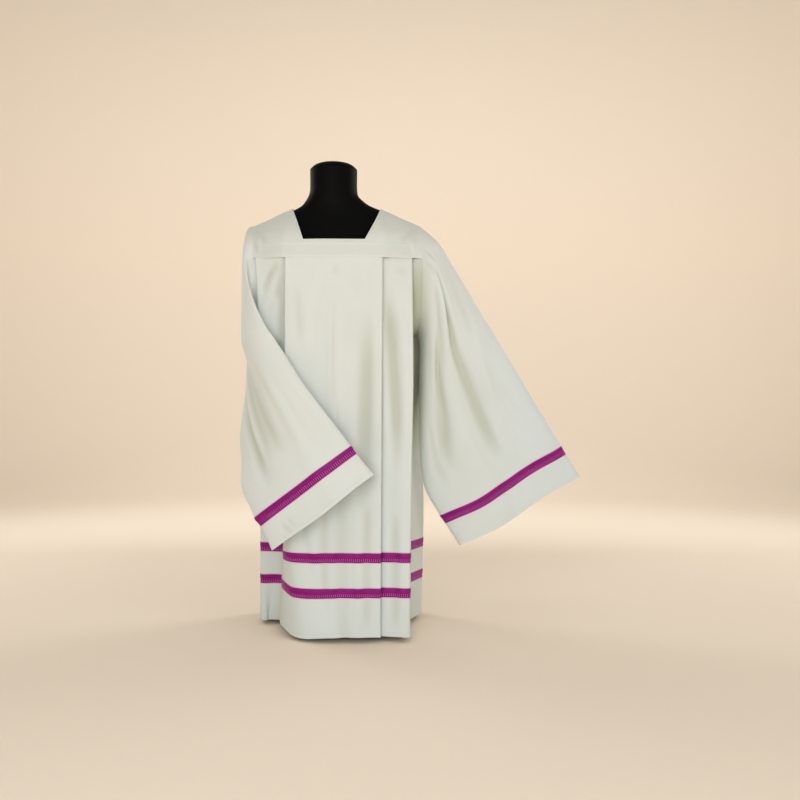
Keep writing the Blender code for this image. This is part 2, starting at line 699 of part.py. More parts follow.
def finish_mesh(name, mesh):
    data = bpy.data.meshes.new(name)
    mesh.to_mesh(data)
    mesh.free()
    data.shade_smooth()
    data.set_sharp_from_angle(angle=math.radians(50))
    body = bpy.data.objects.new(name, data)
    bpy.context.scene.collection.objects.link(body)
    return body


# Dress form and stand


def form_sections():
    """Sections of the form from the hips to the neck, with the shoulder's slope worked from the yoke's
    so that the cloth rests on it."""
    drop = (CLOTH / 2 + SEAT_GAP) * math.hypot(1, SHOULDER_SLOPE)
    rows = [(z, half, front, back, 0.0) for z, half, front, back in FORM_BODY]
    for half, front, back in FORM_SHOULDER:
        rows.append((ridge_z(half) - drop, half, front, back, 0.0))
    for i, (z, half, front, back) in enumerate(FORM_NECK):
        rows.append((z, half, front, back, NECK_OFFSET * min((i + 1) / 3, 1.0)))
    return rows


def loft(name, sections, power, cap_rounds=False):
    """A closed body through level sections (height, half width, front, back, sideways shift)."""
    mesh = bmesh.new()
    rings = []
    for z, half, front, back, shift in sections:
        ring = []
        for k in range(FORM_SIDES):
            angle = 2 * math.pi * k / FORM_SIDES
            c, s = math.cos(angle), math.sin(angle)
            depth = front if s < 0 else back
            x = half * math.copysign(abs(c) ** (2 / power), c)
            y = depth * math.copysign(abs(s) ** (2 / power), s)
            ring.append(mesh.verts.new((x + shift, y, z)))
        rings.append(ring)
    for low, high in zip(rings, rings[1:]):
        for k in range(FORM_SIDES):
            n = (k + 1) % FORM_SIDES
            mesh.faces.new((low[k], low[n], high[n], high[k]))
    mesh.faces.new(rings[0][::-1])
    if cap_rounds:
        z, _, _, _, shift = sections[-1]
        tip = mesh.verts.new((shift, 0.0, z + 0.001))
        for k in range(FORM_SIDES):
            mesh.faces.new((rings[-1][k], rings[-1][(k + 1) % FORM_SIDES], tip))
    else:
        mesh.faces.new(rings[-1])
    bmesh.ops.triangulate(mesh, faces=mesh.faces[:])
    return finish_mesh(name, mesh)


def make_form():
    torso = loft("form_torso", form_sections(), FORM_POWER)
    paint(torso, "form_black", (0.012, 0.012, 0.013), 0.42)
    rows = [(z + SEAM_GAP, r, r * CAP_FLATNESS, r * CAP_FLATNESS, NECK_OFFSET) for z, r in CAP]
    cap = loft("form_neck_cap", rows, 2.0, cap_rounds=True)
    paint(cap, "cap_black", (0.014, 0.013, 0.013), 0.38)


def make_stand():
    bpy.ops.mesh.primitive_cylinder_add(
        vertices=48, radius=BASE_RADIUS, depth=BASE_THICKNESS, location=(0, 0, BASE_THICKNESS / 2)
    )
    base = bpy.context.object
    base.name = "stand_base"
    edge = base.modifiers.new("edge", "BEVEL")
    edge.width = 0.002
    edge.segments = 2
    edge.limit_method = "ANGLE"
    paint(base, "base_black", (0.02, 0.02, 0.02), 0.45)
    low = BASE_THICKNESS + SEAM_GAP
    high = FORM_BOTTOM_Z - SEAM_GAP
    bpy.ops.mesh.primitive_cylinder_add(
        vertices=24, radius=POLE_RADIUS, depth=high - low, location=(0, 0, (low + high) / 2)
    )
    pole = bpy.context.object
    pole.name = "stand_pole"
    paint(pole, "pole_steel", (0.45, 0.45, 0.46), 0.3, 0.9)


def paint(body, name, colour, roughness, metallic=0.0):
    material = bpy.data.materials.new(name)
    material.use_nodes = True
    surface = material.node_tree.nodes["Principled BSDF"]
    surface.inputs["Base Color"].default_value = (*colour, 1.0)
    surface.inputs["Roughness"].default_value = roughness
    surface.inputs["Metallic"].default_value = metallic
    body.data.materials.append(material)


def make_cloth(name, points, normals, thickness, colour, closed=False, holes=()):
    body = wall_mesh(name, points, normals, thickness, closed, holes)
    paint(body, name + "_cloth", colour, CLOTH_ROUGHNESS if colour is IVORY else BAND_ROUGHNESS)


def strip_grid(yoke_points, yoke_normals):
    """The stitched strip: the yoke's lower rows moved out, with one row more that laps over the panel."""
    points = yoke_points[YOKE_ROWS_ABOVE + 1 :, 1:-1]
    normals = yoke_normals[YOKE_ROWS_ABOVE + 1 :, 1:-1]
    lap = points[-1:] - (0.0, 0.0, STRIP_LAP)
    points = np.vstack((points, lap))
    normals = np.vstack((normals, normals[-1:]))
    lift = CLOTH / 2 + LAYER_GAP + STRIP_CLOTH / 2
    return points + normals * lift, normals


def make_garment():
    yokes = {}
    for side, neck_z in ((-1, NECK_FRONT_Z), (1, NECK_BACK_Z)):
        grid, holes = yoke_grid(side, neck_z)
        normals = grid_normals(grid if side < 0 else grid[:, ::-1], False)
        if side > 0:
            normals = normals[:, ::-1]
        yokes[side] = (grid, normals, holes)
    panels = {}
    for face, folds, waves in ((-1, FRONT_FOLDS, FRONT_WAVES), (1, BACK_FOLDS, BACK_WAVES)):
        grid = panel_grid(folds, waves, face)
        panels[face] = (grid, grid_normals(grid, False))
    sleeves = {}
    for side in (1, -1):
        ring = armhole_ring(yokes[-1][0], yokes[1][0], panels[-1][0], panels[1][0], side)
        sleeves[side] = sleeve_grid(side, ring)
    sew_seams(yokes, panels, sleeves)
    make_yokes(yokes)
    make_panels(panels)
    make_sleeves(sleeves)


def edge(piece, row, column, inside_row, inside_column):
    """One point of a piece's edge, its direction, and the point that it is drawn back towards."""
    points, normals = piece[0], piece[1]
    return points[row, column], normals[row, column], points[inside_row, inside_column].copy()


def sew_seams(yokes, panels, sleeves):
    """Parts the pieces at the shoulder, side and armhole seams."""
    armpit = ARMHOLE_ROWS
    last = len(yokes[-1][0]) - 1
    for side in (1, -1):
        sleeve = sleeves[side]
        half = sleeve[0].shape[1] // 2
        for face in (-1, 1):
            yoke_column = 0 if side < 0 else -1
            yoke_inside = 1 if side < 0 else -2
            panel_column = yoke_column if face < 0 else -1 - yoke_column
            panel_inside = 1 if panel_column == 0 else -2
            for r in range(1, last):
                j = r if face < 0 else 2 * half - r
                join = edge(yokes[face], r, yoke_column, r, yoke_inside)
                part_edges((join, edge(sleeve, 0, j, 1, j)), SEAM_GAP)
            for r in range(armpit):
                j = last + r if face < 0 else 2 * half - last - r
                join = edge(panels[face], r, panel_column, r, panel_inside)
                if r == 0:
                    low = edge(yokes[face], last, yoke_column, last, yoke_inside)
                    part_edges((join, low, edge(sleeve, 0, j, 1, j)), SEAM_GAP)
                else:
                    part_edges((join, edge(sleeve, 0, j, 1, j)), SEAM_GAP)
        front_column = 0 if side < 0 else -1
        back_column = -1 - front_column
        front_inside = 1 if side < 0 else -2
        back_inside = -1 - front_inside
        for r in range(armpit, len(panels[-1][0])):
            front = edge(panels[-1], r, front_column, r, front_inside)
            back = edge(panels[1], r, back_column, r, back_inside)
            part_edges((front, back), SEAM_GAP)
        front = edge(panels[-1], armpit, front_column, armpit + 1, front_column)
        back = edge(panels[1], armpit, back_column, armpit + 1, back_column)
        part_edges((front, back, edge(sleeve, 0, half, 1, half)), 2 * SEAM_GAP)
        front = edge(yokes[-1], 0, front_column, 0, front_inside)
        back = edge(yokes[1], 0, front_column, 0, front_inside)
        part_edges((front, back, edge(sleeve, 0, 0, 1, 0)), SEAM_GAP)
    for c in range(yokes[-1][0].shape[1]):
        part_edges((edge(yokes[-1], 0, c, 1, c), edge(yokes[1], 0, c, 1, c)), SEAM_GAP)


def make_yokes(yokes):
    for side, word in ((-1, "front"), (1, "back")):
        points, normals, holes = yokes[side]
        if side > 0:
            points, normals = points[:, ::-1], normals[:, ::-1]
        make_cloth("yoke_" + word, points, normals, CLOTH, IVORY, holes=holes)
        strip, strip_normals = strip_grid(points, normals)
        make_cloth("yoke_strip_" + word, strip, strip_normals, STRIP_CLOTH, IVORY)


def make_panels(panels):
    _, marks = panel_rows()
    names = ("{}_panel", "band_upper_{}", "hem_middle_{}", "band_lower_{}", "hem_border_{}")
    for face, word in ((-1, "front"), (1, "back")):
        grid, normals = panels[face]
        for name, first, last in zip(names, marks, marks[1:]):
            points, outward = part_rows(grid, normals, first, last)
            colour = MAGENTA if name.startswith("band") else IVORY
            make_cloth(name.format(word), points, outward, CLOTH, colour)


def make_sleeves(sleeves):
    for side, word, along in ((1, "left", [row[0] for row in SPREAD_SLEEVE]), (-1, "right", folded_marks())):
        grid, normals = sleeves[side]
        _, marks = sleeve_places(along)
        if side > 0:
            grid, normals = grid[:, ::-1], normals[:, ::-1]
        for name, first, last in zip(("sleeve_", "sleeve_band_", "cuff_"), marks, marks[1:]):
            points, outward = part_rows(grid, normals, first, last)
            colour = MAGENTA if "band" in name else IVORY
            make_cloth(name + word, points, outward, CLOTH, colour, closed=True)


for thing in list(bpy.data.objects):
    bpy.data.objects.remove(thing)
make_garment()
make_form()
make_stand()
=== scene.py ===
import json
import math

import bmesh
import bpy
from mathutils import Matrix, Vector, noise

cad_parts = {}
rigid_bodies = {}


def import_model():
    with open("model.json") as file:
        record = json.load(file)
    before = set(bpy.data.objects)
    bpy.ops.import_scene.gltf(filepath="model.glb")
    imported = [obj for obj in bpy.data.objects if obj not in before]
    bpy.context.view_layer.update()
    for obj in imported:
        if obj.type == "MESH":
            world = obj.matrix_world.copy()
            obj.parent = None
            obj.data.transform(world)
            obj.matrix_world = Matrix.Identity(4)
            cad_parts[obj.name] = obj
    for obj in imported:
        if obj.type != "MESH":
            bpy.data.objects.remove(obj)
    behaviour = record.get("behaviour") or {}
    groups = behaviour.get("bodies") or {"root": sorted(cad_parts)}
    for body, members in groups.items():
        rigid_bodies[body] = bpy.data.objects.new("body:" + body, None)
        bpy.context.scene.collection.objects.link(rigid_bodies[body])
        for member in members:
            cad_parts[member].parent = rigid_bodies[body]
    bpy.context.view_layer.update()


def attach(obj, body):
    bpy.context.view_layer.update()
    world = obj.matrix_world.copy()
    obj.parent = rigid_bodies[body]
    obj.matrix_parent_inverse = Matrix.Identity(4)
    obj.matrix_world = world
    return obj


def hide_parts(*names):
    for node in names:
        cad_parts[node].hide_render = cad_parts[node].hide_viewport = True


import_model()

# A surplice on a limbless dress form. Metres, +Z up, the front towards -Y.
# The cloth follows the same sizes as the solids, with more rows and columns and with its finer folds.

for thing in bpy.data.objects:
    thing.select_set(False)


# Sizes and curves that all the cloth shares

garment = {
    "hemZ": 0.012,
    "bandHeight": 0.0255,
    "lowerBandZ": 0.098,
    "upperBandZ": 0.177,
    "armpitZ": 0.701,
    "waistZ": 0.586,
    "hipZ": 0.366,
    "yokeZ": 0.871,
    "stripTopZ": 0.903,
    "neckFrontZ": 0.910,
    "neckBackZ": 0.951,
    "neckHalfTop": 0.104,
    "neckHalfBottom": 0.070,
    "neckSidePowers": (1.0, 1.6),  # how the neck's sides leave the shoulder, on the wearer's right and left
    "neckRidgeZ": 0.999,
    "shoulderSlope": 0.43,
    "shoulderX": 0.197,
    "profileFootZ": 0.836,
    "profilePower": 2.2,
    "yokeFront": 0.1250,
    "yokeBack": 0.1275,
    "yokeFlatTo": 0.115,
    "armholeFront": 0.089,
    "armholeBack": 0.095,
    "clothThickness": 0.0013,
    "bandThickness": 0.0019,
    "stripThickness": 0.0010,
    "finer": 6,  # rows and columns for each one of the solids
}

armholeWidths = (  # height, distance out on the wearer's left and right
    (0.701, 0.192, 0.188),
    (0.776, 0.201, 0.189),
    (0.846, 0.203, 0.190),
    (0.906, 0.198, 0.191),
    (0.959, 0.197, 0.195),
)

sideSeams = (  # height, distance out and depth on the wearer's left, the same on the right
    (0.012, 0.203, 0.104, 0.199, 0.112),
    (0.286, 0.208, 0.076, 0.191, 0.082),
    (0.486, 0.200, 0.042, 0.185, 0.045),
    (0.646, 0.2015, 0.014, 0.185, 0.014),
    (0.701, 0.192, 0.000, 0.188, 0.000),
)


def rowShares(places, at):  # how much each row of a table counts at one place, on a cubic through them
    last = len(places) - 1
    at = min(max(at, places[0]), places[last])
    i = 0
    while i < last - 1 and at >= places[i + 1]:
        i += 1
    step = places[i + 1] - places[i]
    t = (at - places[i]) / step
    stay = 2 * t**3 - 3 * t**2 + 1
    shares = {i: stay, i + 1: 1 - stay}
    for k, pull in ((i, t**3 - 2 * t**2 + t), (i + 1, t**3 - t**2)):
        low = max(k - 1, 0)
        high = min(k + 1, last)
        share = step * pull / (places[high] - places[low])
        shares[high] = shares.get(high, 0.0) + share
        shares[low] = shares.get(low, 0.0) - share
    return shares


def fromTable(rows, at):
    shares = rowShares([row[0] for row in rows], at)
    return [sum(share * rows[k][c] for k, share in shares.items()) for c in range(1, len(rows[0]))]


def easeInOut(share):
    share = min(max(share, 0.0), 1.0)
    return share * share * (3 - 2 * share)


def grows(value, start, wide):  # from 0 to 1 past a place, or before it where wide is below zero
    return easeInOut((value - start) / wide)


creaseForm = {"ridge": 0.35, "ridgeAt": 2.0, "ridgeSteepness": 1.6, "reach": 3.5}  # places in half widths


def creaseDepth(creases, x, y):
    # Each crease: x and y of its start, x and y of its end, half width, depth, share of fading at its ends.
    depth = 0.0
    for x0, y0, x1, y1, half, deep, fading in creases:
        dx = x1 - x0
        dy = y1 - y0
        length = dx * dx + dy * dy
        along = ((x - x0) * dx + (y - y0) * dy) / length
        off = abs((x - x0) * dy - (y - y0) * dx) / math.sqrt(length) / half
        if not -0.02 < along < 1.02 or off > creaseForm["reach"]:
            continue
        ends = easeInOut(min(along, 1 - along) / fading)
        ridge = math.exp(-((off - creaseForm["ridgeAt"]) ** 2) * creaseForm["ridgeSteepness"])
        depth += deep * ends * (math.exp(-off * off) - creaseForm["ridge"] * ridge)
    return depth


def softFolds(folds, x, y, fading, edge):
    # Each large fold: x and y of its start and of its end, half width, height. It stays open at the edge.
    height = 0.0
    for x0, y0, x1, y1, half, high in folds:
        share = (y - y0) / (y1 - y0)
        if not 0 < share <= 1:
            continue
        fade = min(share, 1.0 if y1 == edge else 1 - share) / fading
        middle = x0 + (x1 - x0) * share
        bell = math.exp(-(((x - middle) / half) ** 2))
        height += high * math.sin(min(fade, 1.0) * math.pi / 2) ** 2 * bell
    return height


def spread(low, high, count):
    return [low + (high - low) * i / count for i in range(count + 1)]


def shareAt(values, t):  # between two neighbours of a list
    i = min(int(t), len(values) - 2)
    return values[i] + (values[i + 1] - values[i]) * (t - i)


def turned(lines, side):  # the back's and the left's rows run the other way, so that faces point outwards
    return [line[::-1] for line in lines] if side > 0 else lines


def uneven(kinds, x, z, face):  # each kind: height, how tight it is across and up, its place in the noise
    height = 0.0
    for high, across, up, own in kinds:
        height += high * noise.noise(Vector((x * across, z * up, face * own)))
    return height


def ridgeZ(x):
    return garment["neckRidgeZ"] - garment["shoulderSlope"] * (abs(x) - garment["neckHalfTop"])


def yokeDepth(x, side):
    drop = max(abs(x) - garment["yokeFlatTo"], 0.0) / (garment["shoulderX"] - garment["yokeFlatTo"])
    full = garment["yokeFront"] if side < 0 else garment["yokeBack"]
    end = garment["armholeFront"] if side < 0 else garment["armholeBack"]
    return full - (full - end) * drop**1.15


def shoulderPoint(x, z, side):
    rise = ridgeZ(x) - garment["profileFootZ"]
    part = min(max((z - garment["profileFootZ"]) / rise, 0.0), 1.0)
    power = garment["profilePower"]
    out = max(1 - part**power, 0.0) ** (1 / power)
    return Vector((x, side * yokeDepth(x, side) * out, z))


def slopeHeight(x, low, row):  # rows 0 to 4 run from the shoulder line down to low
    rise = ridgeZ(x) - garment["profileFootZ"]
    power = garment["profilePower"]
    last = math.acos(min(((low - garment["profileFootZ"]) / rise) ** (power / 2), 1.0))
    return garment["profileFootZ"] + rise * math.cos(last * (row / 4) ** 1.5) ** (2 / power)


def armholeX(z, side):
    left, right = fromTable(armholeWidths, z)
    return left if side > 0 else right


def armholeHeight(row):  # rows 0 to 7 run from the yoke to the armpit
    drop = garment["profileFootZ"] - garment["armpitZ"]
    first = math.asin((garment["yokeZ"] - garment["profileFootZ"]) / drop)
    return garment["profileFootZ"] - drop * math.sin(-first + (math.pi / 2 + first) * row / 7)


def panelEnd(z, side, face):  # the armhole above the armpit, the side seam below
    foot = garment["profileFootZ"]
    if z > foot:
        return Vector((side * armholeX(z, side), shoulderPoint(armholeX(z, side), z, face).y))
    if z >= garment["armpitZ"]:
        part = min((foot - z) / (foot - garment["armpitZ"]), 1.0)
        top = shoulderPoint(armholeX(foot, side), foot, face).y
        return Vector((side * armholeX(z, side), top * math.sqrt(1 - part**2)))
    leftX, leftY, rightX, rightY = fromTable(sideSeams, z)
    return Vector((leftX, leftY)) if side > 0 else Vector((-rightX, rightY))


# Meshes from rows of points


def gridNormals(rows, closed=False):
    count = len(rows[0])
    normals = []
    for r, row in enumerate(rows):
        above = rows[max(r - 1, 0)]
        below = rows[min(r + 1, len(rows) - 1)]
        line = []
        for c in range(count):
            if closed:
                across = row[(c + 1) % count] - row[c - 1]
            else:
                across = row[min(c + 1, count - 1)] - row[max(c - 1, 0)]
            line.append((below[c] - above[c]).cross(across).normalized())
        normals.append(line)
    return normals


def lengths(points, closed=False):  # distances along a row
    run = [0.0]
    for a, b in zip(points, points[1:]):
        run.append(run[-1] + (b - a).length)
    if closed:
        run.append(run[-1] + (points[0] - points[-1]).length)
    return run


def newPiece(name, mesh):  # the new object is the only one selected, and active
    piece = bpy.data.objects.new(name, mesh)
    bpy.context.scene.collection.objects.link(piece)
    bpy.ops.object.select_all(action="DESELECT")
    bpy.context.view_layer.objects.active = piece
    piece.select_set(True)
    return piece


def smoothPiece(piece):
    bpy.ops.object.shade_smooth_by_angle(angle=math.radians(50))
    piece.select_set(False)


def wearPiece(piece, node):
    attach(piece, "root")
    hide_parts(node)


def clothMesh(name, rows, thickness, materials, closed=False, holes=None, slots=None, marks=None):
    # marks: named values of each point, such as how deep it lies in a fold.
    count = len(rows[0])
    cells = []
    corners = []
    for r in range(len(rows) - 1):
        for c in range(count if closed else count - 1):
            if holes and holes(r, c):
                continue
            n = (c + 1) % count
            cells.append((r, c))
            corners.append((r * count + c, (r + 1) * count + c, (r + 1) * count + n, r * count + n))
    mesh = bpy.data.meshes.new(name)
    mesh.from_pydata([point for row in rows for point in row], [], corners)
    for material in materials:
        mesh.materials.append(material)
    middle = lengths(rows[len(rows) // 2], closed)
    down = lengths([row[count // 2] for row in rows])
    places = [(i, j) for r, c in cells for i, j in ((r, c), (r + 1, c), (r + 1, c + 1), (r, c + 1))]
    layer = mesh.uv_layers.new(name="cloth")
    for loop, (i, j) in zip(layer.data, places):
        loop.uv = (middle[j], down[-1] - down[i])
    if slots:
        for face, cell in zip(mesh.polygons, cells):
            face.material_index = slots(*cell)
    for mark, values in (marks or {}).items():
        attribute = mesh.attributes.new(mark, "FLOAT", "POINT")
        attribute.data.foreach_set("value", [value for row in values for value in row])
    if holes:
        body = bmesh.new()
        body.from_mesh(mesh)
        bmesh.ops.delete(body, geom=[v for v in body.verts if not v.link_faces], context="VERTS")
        body.to_mesh(mesh)
        body.free()
    piece = newPiece(name, mesh)
    wall = piece.modifiers.new("wall", "SOLIDIFY")
    wall.thickness = thickness
    wall.offset = 0.0
    wall.use_even_offset = True
    wall.thickness_clamp = 1.0
    bpy.ops.object.modifier_apply(modifier=wall.name)
    smoothPiece(piece)
    return piece


def makeCloth(
    name, rows, marks, node, closed=False, holes=None, wall="cloth"
):
    piece = clothMesh(name, rows, garment[wall + "Thickness"], [ivory], closed, holes, marks=marks)
    wearPiece(piece, node)


def spinPiece(name, points, steps, merge, inside, x=0.0):  # distances out and heights, turned round
    mesh = bpy.data.meshes.new(name)
    mesh.from_pydata([(out, 0.0, z) for out, z in points], [(i, i + 1) for i in range(len(points) - 1)], [])
    piece = newPiece(name, mesh)
    bpy.ops.object.mode_set(mode="EDIT")
    bpy.ops.mesh.select_all(action="SELECT")
    bpy.ops.mesh.spin(steps=steps, angle=2 * math.pi, center=(0, 0, 0), axis=(0, 0, 1))
    bpy.ops.mesh.select_all(action="SELECT")
    bpy.ops.mesh.remove_doubles(threshold=merge)
    bpy.ops.mesh.normals_make_consistent(inside=inside)
    bpy.ops.transform.translate(value=(x, 0, 0))
    bpy.ops.object.mode_set(mode="OBJECT")
    smoothPiece(piece)
    return piece


# Shared effects of the materials


def feed(tree, value, socket):  # a number, a colour or a link
    if isinstance(value, (int, float)):
        socket.default_value = value
    elif isinstance(value, tuple):
        socket.default_value = (*value, 1.0)
    else:
        tree.links.new(value, socket)


def setInputs(node, values):
    for label, value in values.items():
        node.inputs[label].default_value = value


def newGroup(name, inputs, outputs):  # an input without a first value is a place
    group = bpy.data.node_groups.new(name, "ShaderNodeTree")
    for label, value in inputs.items():
        kind = "NodeSocketVector" if value is None else "NodeSocketFloat"
        socket = group.interface.new_socket(label, in_out="INPUT", socket_type=kind)
        if value is not None:
            socket.default_value = value
    for label in outputs:
        group.interface.new_socket(label, in_out="OUTPUT", socket_type="NodeSocketFloat")
    return group, group.nodes.new("NodeGroupInput").outputs, group.nodes.new("NodeGroupOutput").inputs


def mathNode(tree, operation, *values, clamp=False):
    node = tree.nodes.new("ShaderNodeMath")
    node.operation = operation
    node.use_clamp = clamp
    for value, socket in zip(values, node.inputs):
        feed(tree, value, socket)
    return node.outputs[0]


def ramp(tree, value, slope, start):  # a straight rise, held between 0 and 1
    return mathNode(tree, "MULTIPLY_ADD", value, slope, start, clamp=True)


def noiseNode(tree, vector, scale, detail):
    node = tree.nodes.new("ShaderNodeTexNoise")
    setInputs(node, {"Scale": scale, "Detail": detail})
    tree.links.new(vector, node.inputs["Vector"])
    return node.outputs["Fac"]


def streaks(tree, vector, across, down, detail=3.0):
    node = tree.nodes.new("ShaderNodeMapping")
    setInputs(node, {"Scale": (across, down, 1.0)})
    tree.links.new(vector, node.inputs["Vector"])
    return noiseNode(tree, node.outputs[0], 1.0, detail)


def separated(tree, vector):
    node = tree.nodes.new("ShaderNodeSeparateXYZ")
    tree.links.new(vector, node.inputs[0])
    return list(node.outputs)


weaving = {
    "threads": 1400.0,
    "slubs": ((900.0, 26.0), (22.0, 800.0)),  # warp and weft: how fine the streaks are across and down
    "slubShare": 0.5,
    "threadShare": 0.25,
}


def makeWeaveGroup():
    # Plain weave: threads over and under each other, with thicker and thinner ones among them.
    inputs = {"Place": None, "Threads": weaving["threads"]}
    group, start, end = newGroup("plainWeave", inputs, ("Height", "Slub"))
    turns = mathNode(group, "MULTIPLY", start["Threads"], math.pi)
    x, y, _ = separated(group, start["Place"])
    warp, weft = (mathNode(group, "SINE", mathNode(group, "MULTIPLY", part, turns)) for part in (x, y))
    slubs = (
        mathNode(group, "MULTIPLY", streaks(group, start["Place"], *fine), weaving["slubShare"])
        for fine in weaving["slubs"]
    )
    slub = mathNode(group, "ADD", *slubs)
    threads = mathNode(group, "MULTIPLY", warp, weft)
    height = mathNode(group, "MULTIPLY_ADD", threads, weaving["threadShare"], slub)
    group.links.new(height, end["Height"])
    group.links.new(slub, end["Slub"])
    return group


# The yoke's and the strips' stitches are nearer to the edge than the hem's row is.
stitching = {
    "row": 0.0095,
    "nearer": 0.0045,
    "pitch": 0.0032,
    "thread": 0.0006,
    "dent": 0.0022,
    "threadShare": 0.72,
}


def makeStitchGroup():
    # A row of stitches at one distance from a finished edge.
    inputs = {"Distance": 0.0, "Along": 0.0, "Row": stitching["row"], "Pitch": stitching["pitch"]}
    group, start, end = newGroup("stitchRow", inputs, ("Stitch", "Dent"))
    off = mathNode(group, "ABSOLUTE", mathNode(group, "SUBTRACT", start["Distance"], start["Row"]))
    line, dent = (
        mathNode(group, "SUBTRACT", 1.0, mathNode(group, "DIVIDE", off, stitching[width]), clamp=True)
        for width in ("thread", "dent")
    )
    step = mathNode(group, "FRACT", mathNode(group, "DIVIDE", start["Along"], start["Pitch"]))
    thread = mathNode(group, "LESS_THAN", step, stitching["threadShare"])
    group.links.new(mathNode(group, "MULTIPLY", line, thread), end["Stitch"])
    group.links.new(dent, end["Dent"])
    return group


weaveGroup = makeWeaveGroup()
stitchGroup = makeStitchGroup()


def newMaterial(name):
    material = bpy.data.materials.new(name)
    material.use_nodes = True
    tree = material.node_tree
    return material, tree, tree.nodes["Principled BSDF"]


def mixNode(tree, share, low, high):
    node = tree.nodes.new("ShaderNodeMix")
    node.data_type = "RGBA"
    colours = [socket for socket in node.inputs if socket.type == "RGBA"]
    for value, socket in zip((share, low, high), (node.inputs[0], *colours)):
        feed(tree, value, socket)
    return next(socket for socket in node.outputs if socket.type == "RGBA")


def useGroup(tree, group, **values):
    node = tree.nodes.new("ShaderNodeGroup")
    node.node_tree = group
    for label, value in values.items():
        feed(tree, value, node.inputs[label])
    return node.outputs


def clothPlace(tree):
    node = tree.nodes.new("ShaderNodeUVMap")
    node.uv_map = "cloth"
    return node.outputs[0]


def objectPlace(tree):
    return tree.nodes.new("ShaderNodeTexCoord").outputs["Object"]


def attributeValue(tree, name):
    node = tree.nodes.new("ShaderNodeAttribute")
    node.attribute_name = name
    return node.outputs["Fac"]


def addBump(tree, surface, relief, strength, distance):
    node = tree.nodes.new("ShaderNodeBump")
    setInputs(node, {"Strength": strength, "Distance": distance})
    tree.links.new(relief, node.inputs["Height"])
    tree.links.new(node.outputs[0], surface.inputs["Normal"])


ivoryCloth = {
    "light": (0.737, 0.790, 0.785),
    # a darker tone: the cloth's random patches and slubs, and the painted shade high on the yoke
    "shade": (0.61, 0.645, 0.59),
    # painted shade in folds, creases and between layers, mixed in by the foldShade mark
    "paintedFoldShade": (0.37, 0.395, 0.26),
    # painted cool light, mixed in low down and out along the sleeves
    "paintedCoolLight": (0.662, 0.762, 0.808),
    "stitch": (0.45, 0.46, 0.40),
    "paintedCoolLightShare": 0.85,
    "paintedCoolLightLow": (-1.5, 0.85),  # slope and start: painted cool light, cooler low down, and out along the sleeves
    "paintedCoolLightOut": (3.2, -0.62),
    "middleX": 0.02,
    "paintedYokeShadeShare": 0.7,
    "paintedYokeShadeHigh": (28.0, -25.2),  # slope and start: painted shade, darker high on the yoke and shoulders, which tilt up away from the lamps
    "patches": (0.5, -0.14),
    "patchNoise": (7.0, 3.0),  # scale and detail
    "stitchShare": 0.5,
    "stitchRelief": 1.2,
    "threads": 1250.0,
    "bump": (0.22, 0.0006),  # strength and distance
    "surface": {"Roughness": 0.82, "Sheen Weight": 0.12, "Sheen Roughness": 0.5, "Specular IOR Level": 0.3},
}


def makeIvory():
    material, tree, surface = newMaterial("ivoryCloth")
    where = objectPlace(tree)
    x, _, z = separated(tree, where)
    # Painted cool light: the colour is cooler low down and out along the sleeves.
    outward = mathNode(tree, "ABSOLUTE", mathNode(tree, "SUBTRACT", x, ivoryCloth["middleX"]))
    paintedCoolLightOut = ramp(tree, outward, *ivoryCloth["paintedCoolLightOut"])
    paintedCoolLight = mathNode(tree, "MAXIMUM", ramp(tree, z, *ivoryCloth["paintedCoolLightLow"]), paintedCoolLightOut)
    paintedCoolLight = mathNode(tree, "MULTIPLY", paintedCoolLight, ivoryCloth["paintedCoolLightShare"])
    # Painted shade: darker above the strip, on the yoke and the shoulders.
    paintedYokeShade = ramp(tree, z, *ivoryCloth["paintedYokeShadeHigh"])
    paintedYokeShade = mathNode(tree, "MULTIPLY", paintedYokeShade, ivoryCloth["paintedYokeShadeShare"])
    clouds = ramp(tree, noiseNode(tree, where, *ivoryCloth["patchNoise"]), *ivoryCloth["patches"])
    threads = useGroup(tree, weaveGroup, Place=clothPlace(tree), Threads=ivoryCloth["threads"])
    edge = attributeValue(tree, "edgeDistance")
    stitch = useGroup(tree, stitchGroup, Distance=edge, Along=attributeValue(tree, "alongEdge"))
    tone = ivoryCloth["light"]
    # Mixed in turn: painted cool light, painted shade high on the yoke, random patches, painted shade in
    # folds, slubs, and the stitches.
    for share, other in (
        (paintedCoolLight, "paintedCoolLight"),
        (paintedYokeShade, "shade"),
        (clouds, "shade"),
        (attributeValue(tree, "foldShade"), "paintedFoldShade"),
        (ramp(tree, threads["Slub"], *ivoryCloth["patches"]), "shade"),
        (mathNode(tree, "MULTIPLY", stitch["Stitch"], ivoryCloth["stitchShare"]), "stitch"),
    ):
        tone = mixNode(tree, share, tone, ivoryCloth[other])
    tree.links.new(tone, surface.inputs["Base Color"])
    setInputs(surface, ivoryCloth["surface"])
    relief = mathNode(tree, "SUBTRACT", threads["Height"], stitch["Dent"])
    relief = mathNode(tree, "MULTIPLY_ADD", stitch["Stitch"], ivoryCloth["stitchRelief"], relief)
    addBump(tree, surface, relief, *ivoryCloth["bump"])
    return material


